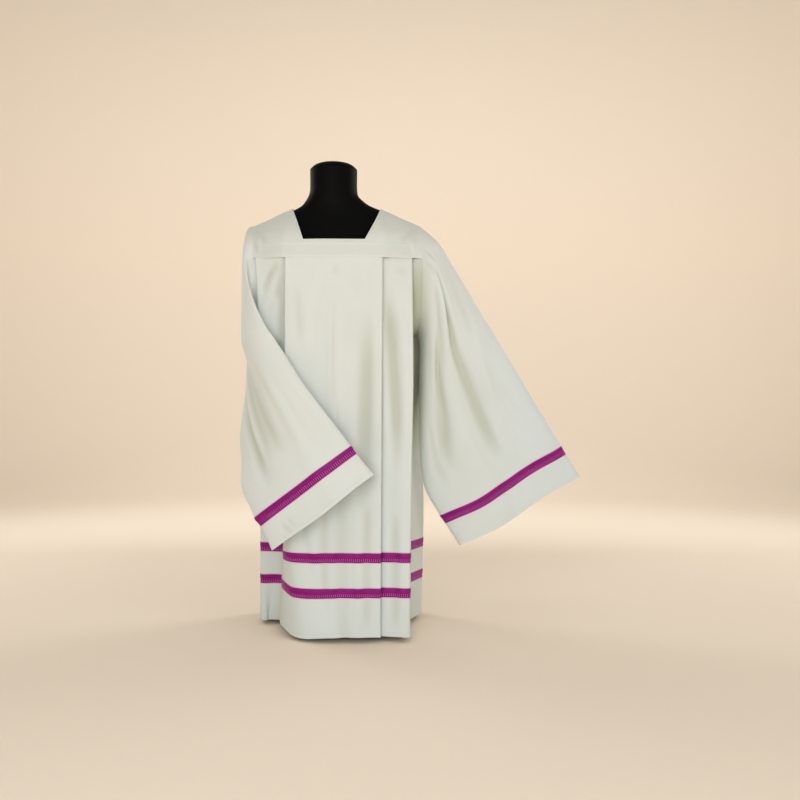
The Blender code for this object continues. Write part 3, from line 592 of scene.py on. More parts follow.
satinBand = {
    "kinds": {  # dark and light tone, roughness, ribs across (0) or along (1) the band
        "magentaSatin": ((0.155, 0.001, 0.108), (0.360, 0.002, 0.262), 0.45, 1),
        "ladderGround": ((0.155, 0.001, 0.108), (0.250, 0.002, 0.180), 0.60, 0),
        "rungThread": ((0.44, 0.04, 0.36), (0.74, 0.22, 0.62), 0.50, 0),
        "picotEdge": ((0.66, 0.46, 0.62), (0.78, 0.50, 0.72), 0.60, 0),
    },
    "ribs": 900,  # to a metre
    "ribShare": 0.3,
    "fibres": (14.0, 900.0),  # how fine the streaks are across and down
    "fibreTone": 1.1,
    "patches": (30.0, 60.0, 2.0),
    "patchTone": (0.9, -0.55),
    "roughSpread": 0.22,
    "bump": (0.25, 0.0005),
    "surface": {"Sheen Weight": 0.02, "Specular IOR Level": 0.22},
}


def makeSatin(name):
    deep, bright, roughness, ribs = satinBand["kinds"][name]
    material, tree, surface = newMaterial(name)
    place = clothPlace(tree)
    fibres = streaks(tree, place, *satinBand["fibres"])
    patches = streaks(tree, place, *satinBand["patches"])
    patches = mathNode(tree, "MULTIPLY_ADD", patches, *satinBand["patchTone"])
    share = ramp(tree, fibres, satinBand["fibreTone"], patches)
    tree.links.new(mixNode(tree, share, deep, bright), surface.inputs["Base Color"])
    spreading = satinBand["roughSpread"]
    rough = mathNode(tree, "MULTIPLY_ADD", fibres, spreading, roughness - spreading / 2)
    tree.links.new(rough, surface.inputs["Roughness"])
    setInputs(surface, satinBand["surface"])
    turns = mathNode(tree, "MULTIPLY", separated(tree, place)[ribs], 2 * math.pi * satinBand["ribs"])
    relief = mathNode(tree, "MULTIPLY_ADD", mathNode(tree, "SINE", turns), satinBand["ribShare"], fibres)
    addBump(tree, surface, relief, *satinBand["bump"])
    return material


formBlack = {
    "kinds": {  # dark and light tone, roughness, how fine the grain is
        "cover": ((0.0020, 0.0020, 0.0022), (0.0045, 0.0044, 0.0044), 0.55, 900.0),
        "cap": ((0.0026, 0.0025, 0.0025), (0.0050, 0.0048, 0.0047), 0.50, 700.0),
        "base": ((0.014, 0.014, 0.014), (0.026, 0.026, 0.026), 0.46, 400.0),
    },
    "grainDetail": 3.0,
    "clouds": (9.0, 2.0),
    "roughSpread": 0.16,
    "bump": (0.15, 0.0004),
    "surface": {"Specular IOR Level": 0.04},
}


def makeBlack(name):
    dark, light, roughness, scale = formBlack["kinds"][name]
    material, tree, surface = newMaterial(name + "Black")
    where = objectPlace(tree)
    grain = noiseNode(tree, where, scale, formBlack["grainDetail"])
    clouds = noiseNode(tree, where, *formBlack["clouds"])
    half = mathNode(tree, "MULTIPLY", clouds, 0.5)
    share = mathNode(tree, "ADD", mathNode(tree, "MULTIPLY", grain, 0.5), half, clamp=True)
    tree.links.new(mixNode(tree, share, dark, light), surface.inputs["Base Color"])
    spreading = formBlack["roughSpread"]
    rough = mathNode(tree, "MULTIPLY_ADD", clouds, spreading, roughness - spreading / 2)
    tree.links.new(rough, surface.inputs["Roughness"])
    setInputs(surface, formBlack["surface"])
    addBump(tree, surface, grain, *formBlack["bump"])
    return material


steel = {
    "tones": ((0.36, 0.36, 0.37), (0.50, 0.50, 0.51)),
    "lines": (700.0, 700.0, 2.0),
    "roughness": (0.2, 0.22),  # slope and start
    "surface": {"Metallic": 1.0},
}


def makeSteel():
    material, tree, surface = newMaterial("poleSteel")
    lines = streaks(tree, objectPlace(tree), *steel["lines"])
    tree.links.new(mixNode(tree, lines, *steel["tones"]), surface.inputs["Base Color"])
    rough = mathNode(tree, "MULTIPLY_ADD", lines, *steel["roughness"])
    tree.links.new(rough, surface.inputs["Roughness"])
    setInputs(surface, steel["surface"])
    return material


ivory = makeIvory()
satin, ladderGround, rungThread, picotEdge = (makeSatin(name) for name in satinBand["kinds"])
coverBlack, capBlack, baseBlack = (makeBlack(name) for name in formBlack["kinds"])
poleSteel = makeSteel()
print("materials made")


# Yokes

yoke = {
    "bindingWidth": 0.0045,
    "bindingHeight": 0.0009,
    "uneven": ((0.0012, 16, 22, 3.0),),
    "creaseShade": 120,
    "edgeSteps": 6,  # rows and columns over which folds fade at the edges
    "flat": (0.42, 0.19),
    "area": 0.062,
    "columnsShoulder": 30,
    "columnsMiddle": 48,
    "creasesFront": (  # x and z of each end, half width, depth, fading
        (-0.190, 0.945, -0.150, 0.900, 0.010, -0.0012, 0.3),
        (0.190, 0.945, 0.150, 0.905, 0.010, -0.0014, 0.3),
        (0.120, 0.985, 0.165, 0.915, 0.012, 0.0010, 0.3),
        (-0.120, 0.985, -0.160, 0.915, 0.012, 0.0010, 0.3),
        (0.168, 0.918, 0.190, 0.876, 0.006, 0.0022, 0.3),
        (0.1625, 0.905, 0.1635, 0.874, 0.004, -0.0016, 0.3),
        (0.180, 0.925, 0.193, 0.905, 0.005, -0.0014, 0.3),
        (-0.186, 0.925, -0.178, 0.880, 0.005, -0.0016, 0.3),
        (-0.176, 0.920, -0.168, 0.876, 0.005, 0.0016, 0.3),
        (-0.060, 0.906, 0.050, 0.905, 0.006, 0.0006, 0.3),
    ),
    "creasesBack": (
        (-0.185, 0.950, -0.120, 0.905, 0.012, -0.0012, 0.3),
        (0.185, 0.950, 0.130, 0.905, 0.012, -0.0012, 0.3),
        (-0.070, 0.935, 0.060, 0.915, 0.012, 0.0010, 0.3),
    ),
}


def yokePoint(side, row, column):
    # Rows 0 to 4 run down to the neck's lower edge, 5 is the strip's top and 7 the yoke's lower edge.
    # Columns 0 to 5 are one shoulder, 5 to 11 the stretch below the neck, 11 to 16 the other shoulder.
    low = garment["neckFrontZ"] if side < 0 else garment["neckBackZ"]
    marks = (low, garment["stripTopZ"], (garment["stripTopZ"] + garment["yokeZ"]) / 2, garment["yokeZ"])
    step = min(max(int(row) - 4, 0), 2)
    lowZ = marks[step] + (marks[step + 1] - marks[step]) * (row - 4 - step)
    outerZ = slopeHeight(garment["shoulderX"], low, row) if row <= 4 else lowZ
    top = ridgeZ(garment["neckHalfTop"])
    down = (top - slopeHeight(garment["neckHalfTop"], low, min(row, 4))) / (top - low)
    narrower = garment["neckHalfBottom"] - garment["neckHalfTop"]
    right, left = (garment["neckHalfTop"] + narrower * down**power for power in garment["neckSidePowers"])
    if column <= 5:
        outer = armholeX(outerZ, -1)
        x = -outer + (outer - right) * column / 5
    elif column >= 11:
        outer = armholeX(outerZ, 1)
        x = left + (outer - left) * (column - 11) / 5
    else:
        x = -right + (left + right) * (column - 5) / 6
    z = slopeHeight(x, low, row) if row <= 4 else lowZ
    return shoulderPoint(x, z, side), (left if x > 0 else right)


def yokeColumns():
    columns = spread(0, 5, yoke["columnsShoulder"])
    columns += spread(5, 11, yoke["columnsMiddle"])[1:-1]
    return columns + spread(11, 16, yoke["columnsShoulder"])


def makeYoke(side, word):
    places = spread(0, 7, 7 * garment["finer"])
    found = turned([[yokePoint(side, row, column) for column in yokeColumns()] for row in places], side)
    rows = [[point for point, _ in line] for line in found]
    normals = gridNormals(rows)
    low = garment["neck" + word + "Z"]
    fading = yoke["edgeSteps"]
    marks = {"foldShade": [], "edgeDistance": [], "alongEdge": []}
    for r, line in enumerate(rows):
        higher = places[r] <= 4  # beside the neck, not below it
        marks["alongEdge"].append([point.z if higher else point.x for point in line])
        tones = []
        away = []
        for c, (point, neck) in enumerate(found[r]):
            beside = max(abs(point.x) - neck, 0.0)
            away.append(beside if higher else math.hypot(beside, low - point.z))
            rim = math.exp(-((away[c] / yoke["bindingWidth"]) ** 6))
            depth = creaseDepth(yoke["creases" + word], point.x, point.z)
            soft = uneven(yoke["uneven"], point.x, point.z, side)
            edges = min(r, len(rows) - 1 - r, fading) / fading * min(c, len(line) - 1 - c, fading) / fading
            # Painted shade in the creases' troughs.
            tones.append(min(max(-depth * yoke["creaseShade"], 0.0), 0.5))
            line[c] = point + normals[r][c] * (rim * yoke["bindingHeight"] + (depth + soft) * edges)
        marks["foldShade"].append(tones)
        marks["edgeDistance"].append([distance + stitching["nearer"] for distance in away])
    firstHole = yoke["columnsShoulder"]
    lastHole = firstHole + yoke["columnsMiddle"]

    def holes(r, c):
        return r < 4 * garment["finer"] and firstHole <= c < lastHole

    node = "yoke_" + word.lower()
    makeCloth("yoke" + word, rows, marks, node, holes=holes)


strip = {
    "flat": (0.36, 0.037),
    "lap": 0.003,
    "lift": 0.0015,
    "edgeDrop": 0.0005,
    "edgeZone": (0.0, 0.002),
    "lapDrop": 0.0008,
    "lapZone": (0.872, -0.004),
    "ridge": 0.0007,
    "ridgeAt": 0.0022,
    "ridgeWidth": 0.0030,
    "puff": 0.0004,
    "puffScale": (60, 30),
    "wave": 0.0006,
    "waveScale": 14,
    # painted shade: the strip's middle, between its bright edge ridges, is a little darker
    "tone": 0.12,
    "middleShadeZone": (0.005, 0.004),
}


def makeStrip(side, word):
    finer = garment["finer"]
    columns = [c for c in yokeColumns() if 1 <= c <= 15]
    rows = [[yokePoint(side, row, column)[0] for column in columns] for row in spread(5, 7, 4 * finer)]
    rows += [[point - Vector((0, 0, strip["lap"] * i / 3)) for point in rows[-1]] for i in (1, 2, 3)]
    rows = turned(rows, side)
    normals = gridNormals(rows)
    top = rows[0][0].z
    bottom = rows[-1][0].z
    puffX, puffZ = strip["puffScale"]
    marks = {"foldShade": [], "edgeDistance": [], "alongEdge": []}
    for r, line in enumerate(rows):
        z = line[0].z
        edge = min(top - z, z - bottom)
        ridge = strip["ridge"] * math.exp(-(((edge - strip["ridgeAt"]) / strip["ridgeWidth"]) ** 4))
        drop = strip["edgeDrop"] * (1 - grows(edge, *strip["edgeZone"]))
        drop += strip["lapDrop"] * grows(z, *strip["lapZone"])
        for c, point in enumerate(line):
            puff = strip["puff"] * (0.5 + noise.noise(Vector((point.x * puffX, z * puffZ, side * 5.0))))
            wave = strip["wave"] * noise.noise(Vector((point.x * strip["waveScale"], 2.0, side)))
            line[c] = point + normals[r][c] * (strip["lift"] + ridge + puff + wave - drop)
        # Painted shade in the strip's middle, fading out towards its edges.
        marks["foldShade"].append([strip["tone"] * grows(edge, *strip["middleShadeZone"])] * len(line))
        marks["edgeDistance"].append([edge + stitching["nearer"]] * len(line))
        marks["alongEdge"].append([point.x for point in line])
    node = "yoke_strip_" + word.lower()
    makeCloth("yokeStrip" + word, rows, marks, node, wall="strip")


for side, word in ((-1, "Front"), (1, "Back")):
    makeYoke(side, word)
    makeStrip(side, word)
print("yokes made")


# Pleated panels and their bands

panel = {
    # Tip of each fold (x, y) at the yoke, the waist, the hip and the hem, the distance between its two
    # layers at the hem, and the way that it turns.
    "foldsFront": (
        ((-0.142, -0.0900), (-0.146, -0.070), (-0.164, -0.040), (-0.191, 0.065), 0.012, -1),
        ((-0.181, -0.0960), (-0.171, -0.085), (-0.177, -0.052), (-0.187, 0.030), 0.009, 1),
        ((-0.070, -0.1150), (-0.080, -0.108), (-0.104, -0.088), (-0.141, 0.027), 0.020, -1),
        ((-0.111, -0.1195), (-0.112, -0.122), (-0.113, -0.124), (-0.089, -0.120), 0.064, 1),
        ((0.111, -0.1195), (0.109, -0.1280), (0.108, -0.1325), (0.106, -0.1375), 0.006, 1),
        ((0.080, -0.1145), (0.082, -0.1150), (0.084, -0.1180), (0.086, -0.1260), 0.006, -1),
        ((0.178, -0.0945), (0.180, -0.1080), (0.175, -0.1250), (0.170, -0.1365), 0.008, 1),
        ((0.142, -0.0900), (0.144, -0.0800), (0.150, -0.0600), (0.164, -0.0050), 0.014, -1),
    ),
    "foldsBack": (
        ((0.142, 0.0940), (0.146, 0.096), (0.156, 0.104), (0.172, 0.118), 0.010, -1),
        ((0.178, 0.0985), (0.178, 0.112), (0.183, 0.128), (0.192, 0.148), 0.010, 1),
        ((0.074, 0.1175), (0.078, 0.120), (0.082, 0.126), (0.090, 0.134), 0.006, -1),
        ((0.113, 0.1225), (0.112, 0.128), (0.111, 0.134), (0.110, 0.144), 0.007, 1),
        ((-0.113, 0.1225), (-0.112, 0.128), (-0.111, 0.134), (-0.110, 0.144), 0.007, 1),
        ((-0.074, 0.1175), (-0.078, 0.120), (-0.082, 0.126), (-0.090, 0.134), 0.006, -1),
        ((-0.178, 0.0985), (-0.178, 0.112), (-0.183, 0.128), (-0.190, 0.148), 0.010, 1),
        ((-0.142, 0.0945), (-0.146, 0.096), (-0.156, 0.104), (-0.170, 0.118), 0.010, -1),
    ),
    "foldGap": 0.005,  # between a fold's two layers above the hem
    "foldLean": 0.5,
    "foldReach": (1.1, 0.005),  # of its round end: times the gap, and at least
    "between": (2, 0, 3, 0, 8, 0, 3, 0, 2),  # points between one fold and the next
    # The side stretches follow the yoke's curve at the top: from this distance out, down to this height,
    # this far inside it, and further inside from the last distance out.
    "yokeHold": {"x": 0.117, "endZ": 0.740, "inset": 0.0026, "taperX": 0.135, "taper": 0.16},
    # Large soft folds: x and z of the upper and the lower end, half width, depth (+ is outwards).
    "wavesFront": (
        (0.128, 0.786, 0.150, 0.436, 0.014, -0.005),
        (0.000, 0.776, 0.002, 0.466, 0.016, 0.004),
        (0.072, 0.746, 0.062, 0.106, 0.022, -0.004),
        (-0.050, 0.406, -0.048, 0.012, 0.022, 0.005),
        (0.020, 0.386, 0.026, 0.012, 0.020, -0.004),
        (0.055, 0.346, 0.052, 0.012, 0.020, 0.004),
        (-0.124, 0.862, -0.127, 0.766, 0.010, -0.003),
    ),
    "wavesBack": (
        (0.070, 0.746, 0.078, 0.086, 0.022, -0.005),
        (-0.010, 0.786, -0.004, 0.406, 0.018, 0.004),
        (-0.062, 0.626, -0.070, 0.012, 0.024, -0.005),
        (0.030, 0.386, 0.034, 0.012, 0.020, 0.004),
        (-0.020, 0.346, -0.026, 0.012, 0.020, 0.005),
    ),
    # Finer creases: x and z of each end, half width, depth, fading.
    "creasesFront": (
        (0.007, 0.856, 0.001, 0.826, 0.008, -0.0013, 0.4),
        (-0.001, 0.790, 0.001, 0.480, 0.004, -0.0015, 0.3),
        (0.009, 0.560, 0.009, 0.400, 0.004, -0.0015, 0.3),
        (0.084, 0.790, 0.070, 0.320, 0.021, -0.0030, 0.4),
        (0.117, 0.835, 0.150, 0.350, 0.012, -0.0036, 0.3),
        (-0.1150, 0.872, -0.1140, 0.640, 0.0032, -0.0022, 0.1),
        (0.165, 0.845, 0.160, 0.100, 0.012, 0.0022, 0.2),
        (0.168, 0.853, 0.150, 0.825, 0.008, -0.0016, 0.4),
        (-0.121, 0.868, -0.172, 0.782, 0.009, -0.0036, 0.3),
        (-0.122, 0.852, -0.172, 0.742, 0.009, 0.0034, 0.3),
        (-0.184, 0.856, -0.178, 0.838, 0.006, -0.0022, 0.4),
        (-0.118, 0.815, -0.120, 0.640, 0.009, -0.0028, 0.3),
        (-0.130, 0.690, -0.112, 0.625, 0.007, -0.0040, 0.3),
        (0.045, 0.640, 0.035, 0.250, 0.010, 0.0012, 0.3),
        (-0.050, 0.830, -0.066, 0.640, 0.010, 0.0010, 0.3),
        (-0.090, 0.820, -0.070, 0.660, 0.009, -0.0012, 0.3),
        (0.060, 0.860, 0.070, 0.760, 0.008, 0.0010, 0.3),
        (-0.030, 0.862, -0.036, 0.780, 0.007, 0.0008, 0.3),
        (-0.070, 0.330, -0.074, 0.020, 0.011, -0.0024, 0.2),
        (-0.022, 0.320, -0.018, 0.014, 0.010, -0.0022, 0.2),
        (0.074, 0.320, 0.076, 0.014, 0.010, -0.0022, 0.2),
        (0.026, 0.340, 0.030, 0.014, 0.009, 0.0018, 0.2),
        (0.140, 0.300, 0.138, 0.014, 0.011, -0.0020, 0.2),
    ),
    "creasesBack": (
        (0.000, 0.850, 0.004, 0.560, 0.010, -0.0016, 0.3),
        (0.050, 0.800, 0.044, 0.420, 0.010, 0.0012, 0.3),
        (-0.050, 0.760, -0.044, 0.340, 0.010, 0.0012, 0.3),
        (0.090, 0.600, 0.094, 0.100, 0.010, -0.0014, 0.3),
        (-0.090, 0.520, -0.096, 0.020, 0.010, -0.0014, 0.2),
        (0.010, 0.400, 0.006, 0.014, 0.009, -0.0012, 0.2),
    ),
    # Widths of the flat pieces, front and back, and their length.
    "flat": {
        "panel": (0.83, 0.74, 0.68),
        "upperBand": (0.85, 0.70, 0.0255),
        "middle": (0.86, 0.69, 0.054),
        "lowerBand": (0.87, 0.69, 0.0255),
        "border": (0.88, 0.68, 0.087),
    },
    # Heights where these start, and how far up or down (below zero) they grow.
    "topZone": (0.835, 0.034),
    "hemZone": (0.33, -0.16),
    "innerZone": (0.845, -0.05),
    "shadeBesideSleeveZones": ((0.935, -0.15), (0.34, 0.20)),
    "topRise": 0.0022,
    "waveFading": 0.25,
    "uneven": ((0.0011, 14, 5, 2.0), (0.0004, 45, 16, 7.0)),
    "unevenHem": ((0.0022, 9, 4, 3.0),),
    "waveShade": 42,
    "creaseShade": 108,
    # How far the points of some folds and the side stretches show the painted shade of the inner layers.
    "layerShares": {
        1: (1, 0.4, 0, 0),
        2: (0, 0.3, 1, 1),
        3: (1, 0.4, 0, 0),
        4: (0, 0, 0.4, 1),
        6: (0, 0, 0.4, 1),
    },
    # painted shade of the side stretches and the folds' inner layers, deeper below the yoke
    "sideShadeShare": 0.4,
    "innerShade": 0.20,
    "innerLower": 0.30,
    # painted shade on the front's side stretch between the outer fold and the sleeve
    "shadeBesideSleeve": 0.74,
    "rowStep": 0.0045,
    "leastStep": 0.002,
    "middleRows": 14,
    "borderRows": 26,
    "columnsBetween": 4,
}


sideStretches = (2, 6)
centreStretch = 4


def heldByYoke(point, z, face):
    holding = panel["yokeHold"]
    hold = easeInOut((z - holding["endZ"]) / (garment["yokeZ"] - holding["endZ"]))
    if abs(point.x) < holding["x"] or hold == 0.0:
        return point
    inset = holding["inset"] + holding["taper"] * max(abs(point.x) - holding["taperX"], 0.0)
    yokeY = shoulderPoint(point.x, garment["yokeZ"], face).y - face * inset
    return Vector((point.x, point.y + (yokeY - point.y) * hold))


def foldGuide(z, face):  # guide points of a panel's path at one height
    first = -1 if face < 0 else 1
    start = panelEnd(z, first, face)
    stop = panelEnd(z, -first, face)
    shares = rowShares((garment["hemZ"], garment["hipZ"], garment["waistZ"], garment["yokeZ"]), z)
    gap = panel["foldGap"]
    reachShare, leastReach = panel["foldReach"]
    tips = []
    for atYoke, atWaist, atHip, atHem, hemGap, turn in panel["foldsFront" if face < 0 else "foldsBack"]:
        rows = ((*atHem, hemGap), (*atHip, gap), (*atWaist, gap), (*atYoke, gap))
        x, y, layers = (sum(share * rows[k][c] for k, share in shares.items()) for c in range(3))
        tips.append((Vector((x, y)), layers, turn))
    stops = [start] + [tip[0] for tip in tips] + [stop]
    points = [start]

    def addBetween(target, i):
        count = panel["between"][i]
        for k in range(1, count + 1):
            points.append(points[-1] + (target - points[-1]) / (count + 2 - k))

    for i, (tip, layers, turn) in enumerate(tips):
        come = (tip - stops[i]).normalized()
        go = (stops[i + 2] - tip).normalized()
        bend = come - go
        along = (come + go + panel["foldLean"] * turn * Vector((-bend.y, bend.x))).normalized()
        reach = max(reachShare * layers, leastReach)
        enter = tip - along * layers / 2
        leave = tip + along * layers / 2
        before = enter - come * reach
        addBetween(before, i)
        if i in sideStretches:
            between = panel["between"][i]
            points[-between:] = [heldByYoke(point, z, face) for point in points[-between:]]
        points += [before, enter, leave, leave + go * reach]
    addBetween(stop, -1)
    return points + [stop]


def easedPoint(points, t):  # a path that is eased at its inner points and keeps its ends
    last = len(points) - 1
    i = min(int(t), last - 1)
    f = t - i
    before = points[i - 1] if i > 0 else 2 * points[0] - points[1]
    after = points[i + 2] if i + 2 <= last else 2 * points[last] - points[last - 1]
    a = (1 - f) ** 3 / 6
    b = (3 * f**3 - 6 * f**2 + 4) / 6
    c = (-3 * f**3 + 3 * f**2 + 3 * f + 1) / 6
    return before * a + points[i] * b + points[i + 1] * c + after * (f**3 / 6)


def guideShares(k):  # how far a guide point shows outside, and how far it lies in the folds' inner layers
    start = 1
    for i, between in enumerate(panel["between"]):
        if start <= k < start + between:
            return float(i in (centreStretch, *sideStretches)), panel["sideShadeShare"] if i in (0, 8) else 0.0
        start += between
        if i < 8 and start <= k < start + 4:
            return 0.0, panel["layerShares"].get(i, (1, 1, 1, 1))[k - start]
        start += 4
    return 0.0, panel["sideShadeShare"]


guideCount = sum(panel["between"]) + 4 * 8 + 2
outsideShares, insideShares = zip(*(guideShares(k) for k in range(guideCount)))
panelPlaces = spread(0, guideCount - 1, (guideCount - 1) * panel["columnsBetween"])
centreStart = sum(panel["between"][:4]) + 4 * 4
lastStart = sum(panel["between"][:8]) + 4 * 8


hemRise = {
    "curl": 0.011,  # the front's left edge
    "curlX": (-0.090, -0.035),
    "curlZ": (0.20, -0.08),
    "left": 0.006,  # the bands of the sections on either side
    "right": 0.005,
    "bandsLow": (0.015, 0.10),
    "bandsHigh": (0.36, -0.12),
    "dip": 0.0048,
    "dipX": -0.070,
    "dipWide": 0.034,
    "dipZ": (0.16, -0.15),
}


def hemLift(t, x, z):
    curl = hemRise["curl"] * grows(x, *hemRise["curlX"]) * grows(z, *hemRise["curlZ"])
    bands = grows(z, *hemRise["bandsLow"]) * grows(z, *hemRise["bandsHigh"])
    left = grows(t, centreStart - 3.0, -1.5)
    right = grows(t, lastStart - 2.0, 1.5) * (1 - 0.5 * grows(t, lastStart, 3.0))
    bands *= hemRise["left"] * left + hemRise["right"] * right
    dip = math.exp(-(((x - hemRise["dipX"]) / hemRise["dipWide"]) ** 2)) * grows(z, *hemRise["dipZ"])
    return curl * (1 - left) + bands - hemRise["dip"] * dip


def panelRow(z, face, places):
    guide = foldGuide(z, face)
    word = "Front" if face < 0 else "Back"
    top = panel["topRise"] * grows(z, *panel["topZone"])
    low = grows(z, *panel["hemZone"])
    innerShade = panel["innerShade"] + panel["innerLower"] * grows(z, *panel["innerZone"])
    besideShade = panel["shadeBesideSleeve"] * math.prod(grows(z, *zone) for zone in panel["shadeBesideSleeveZones"])
    line = []
    tones = []
    for t in places:
        point = easedPoint(guide, t)
        outside = shareAt(outsideShares, t)
        wave = softFolds(panel["waves" + word], point.x, z, panel["waveFading"], garment["hemZ"])
        crease = creaseDepth(panel["creases" + word], point.x, z)
        lift = outside * (wave + crease + uneven(panel["uneven"], point.x, z, face) + top)
        waver = uneven(panel["unevenHem"], point.x, z, face) * low
        # Painted shade in the troughs of soft folds and creases, and on the folds' inner layers.
        tone = max(-wave * panel["waveShade"], 0.0) + max(-crease * panel["creaseShade"], 0.0)
        tone = max(min(tone, 0.50) * outside, shareAt(insideShares, t) * innerShade)
        if face < 0:
            waver += hemLift(t, point.x, z)
            # Painted shade on the side stretch beside the sleeve.
            tone = max(tone, besideShade * min(max(t - lastStart, 0.0), 1.0))
        line.append(Vector((point.x, point.y + face * lift, z + waver)))
        tones.append(tone)
    return line, tones


def panelHeights():
    finer = garment["finer"]
    heights = []
    for row in spread(0, 7, 7 * finer):
        z = armholeHeight(row)
        if not heights or heights[-1] - z > panel["leastStep"]:
            heights.append(z)
    heights[-1] = garment["armpitZ"]
    low = garment["upperBandZ"] + garment["bandHeight"]
    count = round((garment["armpitZ"] - low) / panel["rowStep"])
    return heights + spread(garment["armpitZ"], low, count)[1:]


def clothRows(heights, face, edgeAt=None):
    rows = []
    marks = {"foldShade": [], "edgeDistance": [], "alongEdge": []}
    for z in heights:
        line, tones = panelRow(z, face, panelPlaces)
        rows.append(line)
        marks["foldShade"].append(tones)
        far = 0.1 if edgeAt is None else abs(z - edgeAt)
        marks["edgeDistance"].append([far] * len(line))
        marks["alongEdge"].append(lengths(line))
    return rows, marks


hem = {"foldHeight": 0.0105, "foldThickness": 0.0006, "foldStep": 0.0015}


def foldHem(rows, normals, ups):  # the double layer up to the stitches stands a little proud
    for line, out, up in zip(rows, normals, ups):
        rise = hem["foldThickness"] * easeInOut((hem["foldHeight"] - up) / hem["foldStep"])
        for c, point in enumerate(line):
            line[c] = point + out[c] * rise


def makePanel(face, word):
    rows, marks = clothRows(panelHeights(), face)
    makeCloth("panel" + word, rows, marks, word.lower() + "_panel")


def makeHemPieces(face, word):
    low = garment["lowerBandZ"] + garment["bandHeight"]
    rows, marks = clothRows(spread(garment["upperBandZ"], low, panel["middleRows"]), face)
    makeCloth("hemMiddle" + word, rows, marks, "hem_middle_" + word.lower())
    heights = spread(garment["lowerBandZ"], garment["hemZ"], panel["borderRows"])
    rows, marks = clothRows(heights, face, garment["hemZ"])
    foldHem(rows, gridNormals(rows), [line[0].z - garment["hemZ"] for line in rows])
    makeCloth("hemBorder" + word, rows, marks, "hem_border_" + word.lower())


ladder = {
    "pitchPanels": 0.0046,
    "pitchSleeves": 0.0050,
    "rung": 0.0019,
    "rungBase": 0.0006,
    "rungHeight": 0.0005,
    "rungEnds": 0.4,
    "rungProfile": ((0.0, -0.2), (0.3, 0.9), (0.7, 0.9), (1.0, -0.2)),  # share across, share of the height
    # Share of the band's height where each stretch starts, and what it is.
    "panels": ((0.0, "edge"), (0.075, "satin"), (0.57, "ladder"), (0.82, "satin"), (0.925, "edge")),
    "sleeves": ((0.0, "edge"), (0.075, "satin"), (0.42, "ladder"), (0.80, "satin"), (0.925, "edge")),
}
stretchRise = {"satin": 0.0004, "ladder": -0.0003, "edge": 0.0002}
stretchMaterials = {"satin": satin, "ladder": ladderGround, "edge": picotEdge}


def bandRowShares(stretches):
    shares = []
    for (start, kind), (stop, _) in zip(stretches, (*stretches[1:], (1.0, None))):
        count = 1 if kind == "edge" else 4
        shares += [(start + (stop - start) * k / count, kind) for k in range(count)]
    return shares + [(1.0, "edge")]


def rungPlaces(run, places, pitch):  # places along a row at the two edges of each rung, and its end
    total = run[-1]
    count = int(total / pitch)
    edges = [total / count * k + wide for k in range(count) for wide in (0.0, ladder["rung"])]
    found = []
    i = 0
    for edge in (*edges, total):
        while i < len(run) - 2 and run[i + 1] < edge:
            i += 1
        span = max(run[i + 1] - run[i], 1e-9)
        found.append(places[i] + (places[i + 1] - places[i]) * min((edge - run[i]) / span, 1.0))
    return found


def raisedBand(rows, shares, closed):
    raised = []
    for line, normals, (_, kind) in zip(rows, gridNormals(rows, closed), shares):
        raised.append([point + normal * stretchRise[kind] for point, normal in zip(line, normals)])
    return raised


def makeRungs(rows, shares, closed):
    # One low rounded bar for each rung, standing a little proud of the ladder's ground.
    kinds = [kind for _, kind in shares]
    first = kinds.index("ladder")
    last = first + kinds.count("ladder")
    normals = gridNormals(rows, closed)
    points = []
    faces = []
    for c in range(0, len(rows[0]) - (0 if closed else 1), 2):
        n = (c + 1) % len(rows[0])
        base = len(points)
        for r in range(first, last + 1):
            left = rows[r][c]
            right = rows[r][n]
            out = (normals[r][c] + normals[r][n]).normalized()
            full = ladder["rungEnds"] if r in (first, last) else 1.0
            for share, height in ladder["rungProfile"]:
                lift = ladder["rungBase"] + ladder["rungHeight"] * height * full
                points.append(left + (right - left) * share + out * lift)
        for a in (base + 4 * r + k for r in range(last - first) for k in range(3)):
            faces.append((a, a + 4, a + 5, a + 1))
    return points, faces


def makeBand(name, rows, shares, node, closed=False):
    rows = raisedBand(rows, shares, closed)

    def slots(r, c):
        return list(stretchMaterials).index(shares[r][1])

    materials = stretchMaterials.values()
    piece = clothMesh(name, rows, garment["bandThickness"], materials, closed, slots=slots)
    points, faces = makeRungs(rows, shares, closed)
    mesh = bpy.data.meshes.new(name + "Rungs")
    mesh.from_pydata(points, [], faces)
    mesh.materials.append(rungThread)
    layer = mesh.uv_layers.new(name="cloth")
    for loop in mesh.loops:
        point = mesh.vertices[loop.vertex_index].co
        layer.data[loop.index].uv = (point.x, point.z)
    for face in mesh.polygons:
        face.use_smooth = True
    rungs = newPiece(name + "Rungs", mesh)
    rungs.select_set(False)
    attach(rungs, "root")
    wearPiece(piece, node)


def makePanelBand(face, word, level):
    low = garment[level.lower() + "BandZ"]
    height = garment["bandHeight"]
    shares = bandRowShares(ladder["panels"])
    run = lengths(panelRow(low + height / 2, face, panelPlaces)[0])
    places = rungPlaces(run, panelPlaces, ladder["pitchPanels"])
    rows = [panelRow(low + height * (1 - share), face, places)[0] for share, _ in shares]
    node = "band_" + level.lower() + "_" + word.lower()
    makeBand("band" + level + word, rows, shares, node)


for face, word in ((-1, "Front"), (1, "Back")):
    makePanel(face, word)
    makeHemPieces(face, word)
    makePanelBand(face, word, "Upper")
    makePanelBand(face, word, "Lower")
print("panels and bands made")


# Sleeves

